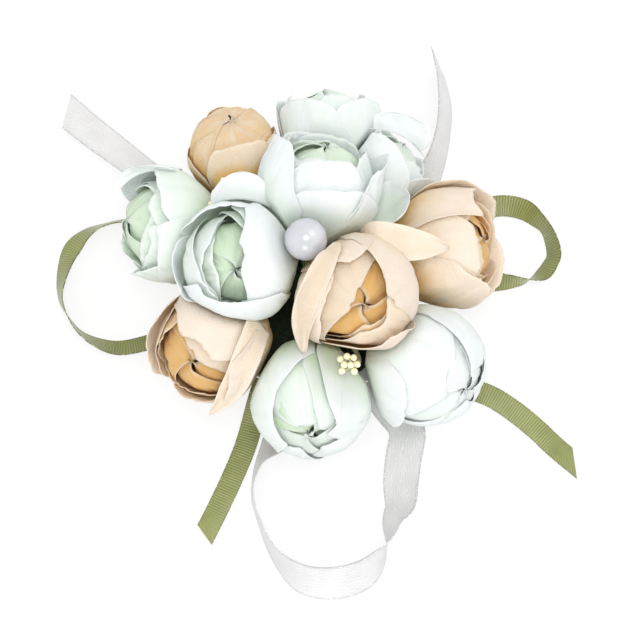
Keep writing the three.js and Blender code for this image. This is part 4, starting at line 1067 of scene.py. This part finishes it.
# rows: distance out from the flex line and to the left, as shares of the reach, and the lean of the face.
# cut is how far one edge of a tail's end runs past the other
ribbonTable = [
    {"name": "green_loop_left", "colour": "green", "bearing": 180, "reach": 41.0, "route": [
        [0, -0.24, 90], [0.195, -0.32, 84], [0.39, -0.45, 62], [0.563, -0.51, 28], [0.727, -0.48, 24],
        [0.84, -0.424, 42], [0.927, -0.332, 62], [0.975, -0.21, 46], [1, -0.06, 27], [0.995, 0.046, 12],
        [0.96, 0.132, 0], [0.868, 0.263, -16], [0.734, 0.344, -38], [0.6, 0.373, -53], [0.39, 0.332, -60],
        [0.195, 0.271, -82], [0, 0.21, -90]]},
    {"name": "green_loop_right", "colour": "green", "bearing": 14, "reach": 41.7, "route": [
        [0, 0.16, 90], [0.2, 0.2, 90], [0.4, 0.25, 88], [0.566, 0.288, 84], [0.741, 0.294, 80],
        [0.88, 0.226, 60], [0.952, 0.125, 30], [0.985, 0.062, 20], [1, -0.031, 27], [0.99, -0.14, 37],
        [0.95, -0.194, 44], [0.88, -0.25, 44], [0.763, -0.268, 4], [0.66, -0.247, -24], [0.56, -0.218, -46],
        [0.44, -0.187, -56], [0.22, -0.15, -80], [0, -0.113, -90]]},
    {"name": "wrist_loop", "colour": "white", "bearing": -80, "reach": 53.2, "route": [
        [0, 0.244, 90], [0.13, 0.305, 90], [0.276, 0.374, 90], [0.42, 0.33, 84], [0.536, 0.295, 74],
        [0.664, 0.265, 54], [0.733, 0.216, 34], [0.846, 0.173, 6], [0.927, 0.103, -24], [0.985, 0.015, -44],
        [1, -0.13, -50], [0.953, -0.284, -40], [0.818, -0.398, -12], [0.64, -0.449, -4], [0.502, -0.462, -4],
        [0.41, -0.44, -8], [0.327, -0.396, -18], [0.256, -0.324, -44], [0.178, -0.252, -76], [0.094, -0.186, -88],
        [0, -0.15, -90]]},
    {"name": "white_tail_left", "colour": "white", "bearing": 140, "reach": 62.5, "cut": -2.9, "route": [
        [0, -0.02, 90], [0.14, -0.02, 88], [0.32, 0.018, 74], [0.48, 0.038, 62], [0.59, 0.04, 64],
        [0.7, 0.043, 68], [0.82, 0.045, 72], [0.94, 0.043, 75], [1, 0.042, 76]]},
    {"name": "white_tail_right", "colour": "white", "bearing": 50, "reach": 50.0, "cut": 3.0, "route": [
        [0, -0.06, 90], [0.14, -0.08, 86], [0.27, -0.09, 64], [0.38, -0.085, 42], [0.51, -0.05, 29],
        [0.65, 0.02, 24], [0.78, 0.112, 24], [0.89, 0.228, 18], [0.985, 0.36, 12]]},
    {"name": "green_tail_left", "colour": "green", "bearing": -112, "reach": 46.8, "cut": 1.6, "route": [
        [0, -0.04, 90], [0.2, -0.02, 90], [0.4, 0.002, 88], [0.6, 0.003, 86], [0.8, -0.006, 90], [1, -0.02, 90]]},
    {"name": "green_tail_right", "colour": "green", "bearing": -32, "reach": 62.3, "cut": -3.2, "route": [
        [0, 0.006, 90], [0.18, 0.01, 90], [0.35, 0.013, 90], [0.49, 0.035, 84], [0.6, 0.032, 84],
        [0.72, 0.016, 88], [0.85, -0.012, 90], [1, -0.035, 90]]},
]


def ribbonSpot(ribbon, outShare, leftShare):
    out = heading(ribbon["bearing"])
    left = np.cross((0, 0, 1), out)
    return out * (ribbonSizes["hinge"] + outShare * ribbon["reach"]) + left * leftShare * ribbon["reach"]


def routeAt(knots, share):
    # a centripetal curve through the knots
    place = share * (len(knots) - 1)
    index = min(int(place), len(knots) - 2)
    part = place - index
    second, third = knots[index], knots[index + 1]
    first = knots[index - 1] if index > 0 else 2 * knots[0] - knots[1]
    fourth = knots[index + 2] if index + 2 < len(knots) else 2 * knots[-1] - knots[-2]
    gaps = [max(np.linalg.norm(b - a) ** 0.5, 1e-4) for a, b in ((first, second), (second, third), (third, fourth))]
    start = (second - first) / gaps[0] - (third - first) / (gaps[0] + gaps[1]) + (third - second) / gaps[1]
    stop = (third - second) / gaps[1] - (fourth - second) / (gaps[1] + gaps[2]) + (fourth - third) / gaps[2]
    start, stop = start * gaps[1], stop * gaps[1]
    return (second + start * part + (3 * (third - second) - 2 * start - stop) * part ** 2
            + (2 * (second - third) + start + stop) * part ** 3)


def ribbonStations(ribbon, count):
    # spot, direction across and direction of the face at each station along the ribbon
    size = ribbonSizes[ribbon["colour"]]
    rows = ribbon["route"]
    knots = [ribbonSpot(ribbon, row[0], row[1]) for row in rows]
    out = heading(ribbon["bearing"])
    flex = np.cross((0, 0, 1), out)
    loop = "loop" in ribbon["name"]
    stations = []
    for step in range(count + 1):
        share = step / count
        spot = routeAt(knots, share)
        tangent = routeAt(knots, min(share + 1e-4, 1)) - routeAt(knots, max(share - 1e-4, 0))
        tangent /= np.linalg.norm(tangent)
        lean = math.radians(crestAt([row[2] for row in rows], np.array([share * 2 - 1]))[0])
        across = np.cross((0, 0, 1), tangent) * math.sin(lean) + np.array([0, 0, math.cos(lean)])
        past = spot @ out - ribbonSizes["hinge"]
        # at the flex line the ribbon lies square to it
        near = 1 - float(smoothStep(past, 0, ribbonSizes["straight"])) if share < 0.5 or loop else 0.0
        along = flex * np.sign(across @ flex) / abs(tangent @ out) if near > 0 else across
        across = across + (along - across) * near
        face = np.cross(tangent, across)
        standing = (abs(across[2]) * size["width"] + abs(face[2]) * ribbonSizes["solid"]) / 2
        sunk = float(smoothStep(past, size["dropStart"], size["dropStart"] + ribbonSizes["drop"]))
        spot[2] = max(size["root"], standing) * (1 - sunk) + standing * sunk
        stations.append((spot, across, face))
    return stations


def ribbonPiece(ribbon):
    size = ribbonSizes[ribbon["colour"]]
    count = ribbonSizes["loopSteps" if "loop" in ribbon["name"] else "tailSteps"]
    stations = ribbonStations(ribbon, count)
    spots = np.array([station[0] for station in stations])
    lengths = np.concatenate([[0], np.cumsum(np.linalg.norm(np.diff(spots, axis=0), axis=1))])
    acrossAll = np.array([station[1] for station in stations])
    faceAll = np.array([station[2] for station in stations])
    piece, wide, along = flatGrid(ribbonSizes["columns"], count)
    # a slanting cut at the end of a tail
    distance = along * lengths[-1]
    cut = ribbon.get("cut", 0.0)
    distance = distance + (cut * wide - abs(cut)) * smoothStep(along, ribbonSizes["cutFrom"], 1)

    def read(table):
        return np.stack([np.interp(distance, lengths, table[:, axis]) for axis in range(3)], axis=1)

    gap = ribbonSizes["gap"]
    cup = ribbonSizes["cup"] * (1 - wide ** 2)
    cup += ribbonSizes["buckle"] * noiseAt(distance * 0.11, wide * 0.6, len(ribbon["name"]) * 1.3)
    points = read(spots) + read(acrossAll) * (wide * (size["width"] / 2 - gap))[:, None]
    points += read(faceAll) * (cup * smoothStep(distance, *ribbonSizes["cupped"]))[:, None]
    points[:, 2] = np.maximum(points[:, 2], ribbonSizes["thickness"] / 2 + gap)
    setPoints(piece, points * mm)
    scaleUv(piece, size["width"], lengths[-1], lengthFirst=True)
    setAttribute(piece, "rim", smoothStep(np.abs(wide), *ribbonSizes["rim"]))
    applyModifier(piece, "SOLIDIFY", thickness=ribbonSizes["thickness"] * mm, offset=0.0)
    shadeSmooth(piece, 50)
    piece.name = piece.data.name = ribbon["name"] + "_satin"
    return piece, lengths[-1]


def middlePiece(colour):
    # the ribbon's middle, glued flat between the felt discs, out to each flex line
    size = ribbonSizes[colour]
    strips = []
    for ribbon in [ribbon for ribbon in ribbonTable if ribbon["colour"] == colour]:
        ends = [ribbon["route"][0]] + ([ribbon["route"][-1]] if "loop" in ribbon["name"] else [])
        flex = np.cross((0, 0, 1), heading(ribbon["bearing"]))
        for end in ends:
            root = ribbonSpot(ribbon, end[0], end[1]) - heading(ribbon["bearing"]) * ribbonSizes["short"]
            along = root / np.linalg.norm(root)
            side = np.cross((0, 0, 1), along)
            piece, wide, rise = flatGrid(*ribbonSizes["middleGrid"])
            slant = flex / (flex @ side)
            share = rise[:, None]
            points = root * share - along * (1 - share) * size["width"] / 2
            points += (side * (1 - share) + slant * share) * (wide * size["width"] / 2)[:, None]
            # the strips lie one over another
            level = ribbonSizes["stack"] * (len(strips) - ribbonSizes["stackMiddle"]) / ribbonSizes["stackMiddle"]
            points[:, 2] = size["root"] + level * (1 - smoothStep(rise, *ribbonSizes["settled"]))
            setPoints(piece, points * mm)
            scaleUv(piece, size["width"], float(np.linalg.norm(root)))
            setAttribute(piece, "rim", smoothStep(np.abs(wide), *ribbonSizes["middleRim"]))
            strips.append(piece)
    whole = joinPieces(strips, colour + "_middle_satin")
    applyModifier(whole, "SOLIDIFY", thickness=ribbonSizes["glued"] * mm, offset=0.0)
    shadeSmooth(whole, 50)
    finishPiece(whole, colour, colour + "_satin", colour + "_ribbon_middle")
    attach(whole, "pad")


for ribbon in ribbonTable:
    piece, length = ribbonPiece(ribbon)
    finishPiece(piece, ribbon["colour"], ribbon["colour"] + "_satin", ribbon["name"])
    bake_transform(piece)
    print("ribbon", ribbon["name"], "is", round(length, 1), "mm long")
for colour in ("white", "green"):
    middlePiece(colour)
print("ribbons made")


# Room: plain pale floor, soft studio light

room = {"floorHalf": 3.0, "floorDrop": 0.0001, "floor": "#f2f2f2", "world": 0.95, "shadowShare": 0.2,
        "aim": (0, 0, 0.02),
        "lamps": [{"name": "overheadLamp", "place": (0.05, -0.2, 1.3), "size": 0.6, "power": 5.9},
                  {"name": "keyLamp", "place": (0.65, 0.35, 1.0), "size": 0.7, "power": 2.3},
                  {"name": "frontLamp", "place": (-0.1, -0.95, 0.5), "size": 0.5, "power": 2.2}]}


def seenDirectly(tree):
    # 1 for rays of the camera and for those that it sees in a gloss
    path = addNode(tree, "ShaderNodeLightPath")
    bent = calculate(tree, "MAXIMUM", path.outputs["Is Glossy Ray"], path.outputs["Is Transmission Ray"])
    return calculate(tree, "MAXIMUM", path.outputs["Is Camera Ray"], bent)


def buildFloor():
    deselectAll()
    bpy.ops.mesh.primitive_plane_add(size=2 * room["floorHalf"], location=(0, 0, -room["floorDrop"]))
    floor = bpy.context.object
    floor.name = "floor"
    placeInMesh(floor)
    material, tree, shader, end = newFinish("paleFloor", {"Base Color": paint(room["floor"]), "Roughness": 0.9,
                                                          "Specular IOR Level": 0.1})
    # the camera looks through to the white world, so ribbons that fold down round a wrist stay in sight
    clear = addNode(tree, "ShaderNodeBsdfTransparent")
    share = times(tree, seenDirectly(tree), 1 - room["shadowShare"])
    mixShaders(tree, share, shader.outputs["BSDF"], clear.outputs[0], end)
    floor.data.materials.append(material)


def buildWorld():
    world = bpy.data.worlds.new("room")
    bpy.context.scene.world = world
    world.use_nodes = True
    tree = world.node_tree
    tree.nodes.clear()
    end = tree.nodes.new("ShaderNodeOutputWorld")
    lit, white = (addNode(tree, "ShaderNodeBackground", {"Color": (1, 1, 1, 1), "Strength": strength}).outputs[0]
                  for strength in (room["world"], 1.0))
    mixShaders(tree, seenDirectly(tree), lit, white, end)


def buildLamps():
    for lamp in room["lamps"]:
        bpy.ops.object.light_add(type="AREA", location=lamp["place"])
        light = bpy.context.object
        light.name = lamp["name"]
        light.data.shape = "DISK"
        light.data.size = lamp["size"]
        light.data.energy = lamp["power"]
        aim = Vector(room["aim"]) - Vector(lamp["place"])
        light.rotation_euler = aim.to_track_quat("-Z", "Y").to_euler()


buildFloor()
buildWorld()
buildLamps()
print("room lit")

deselectAll()
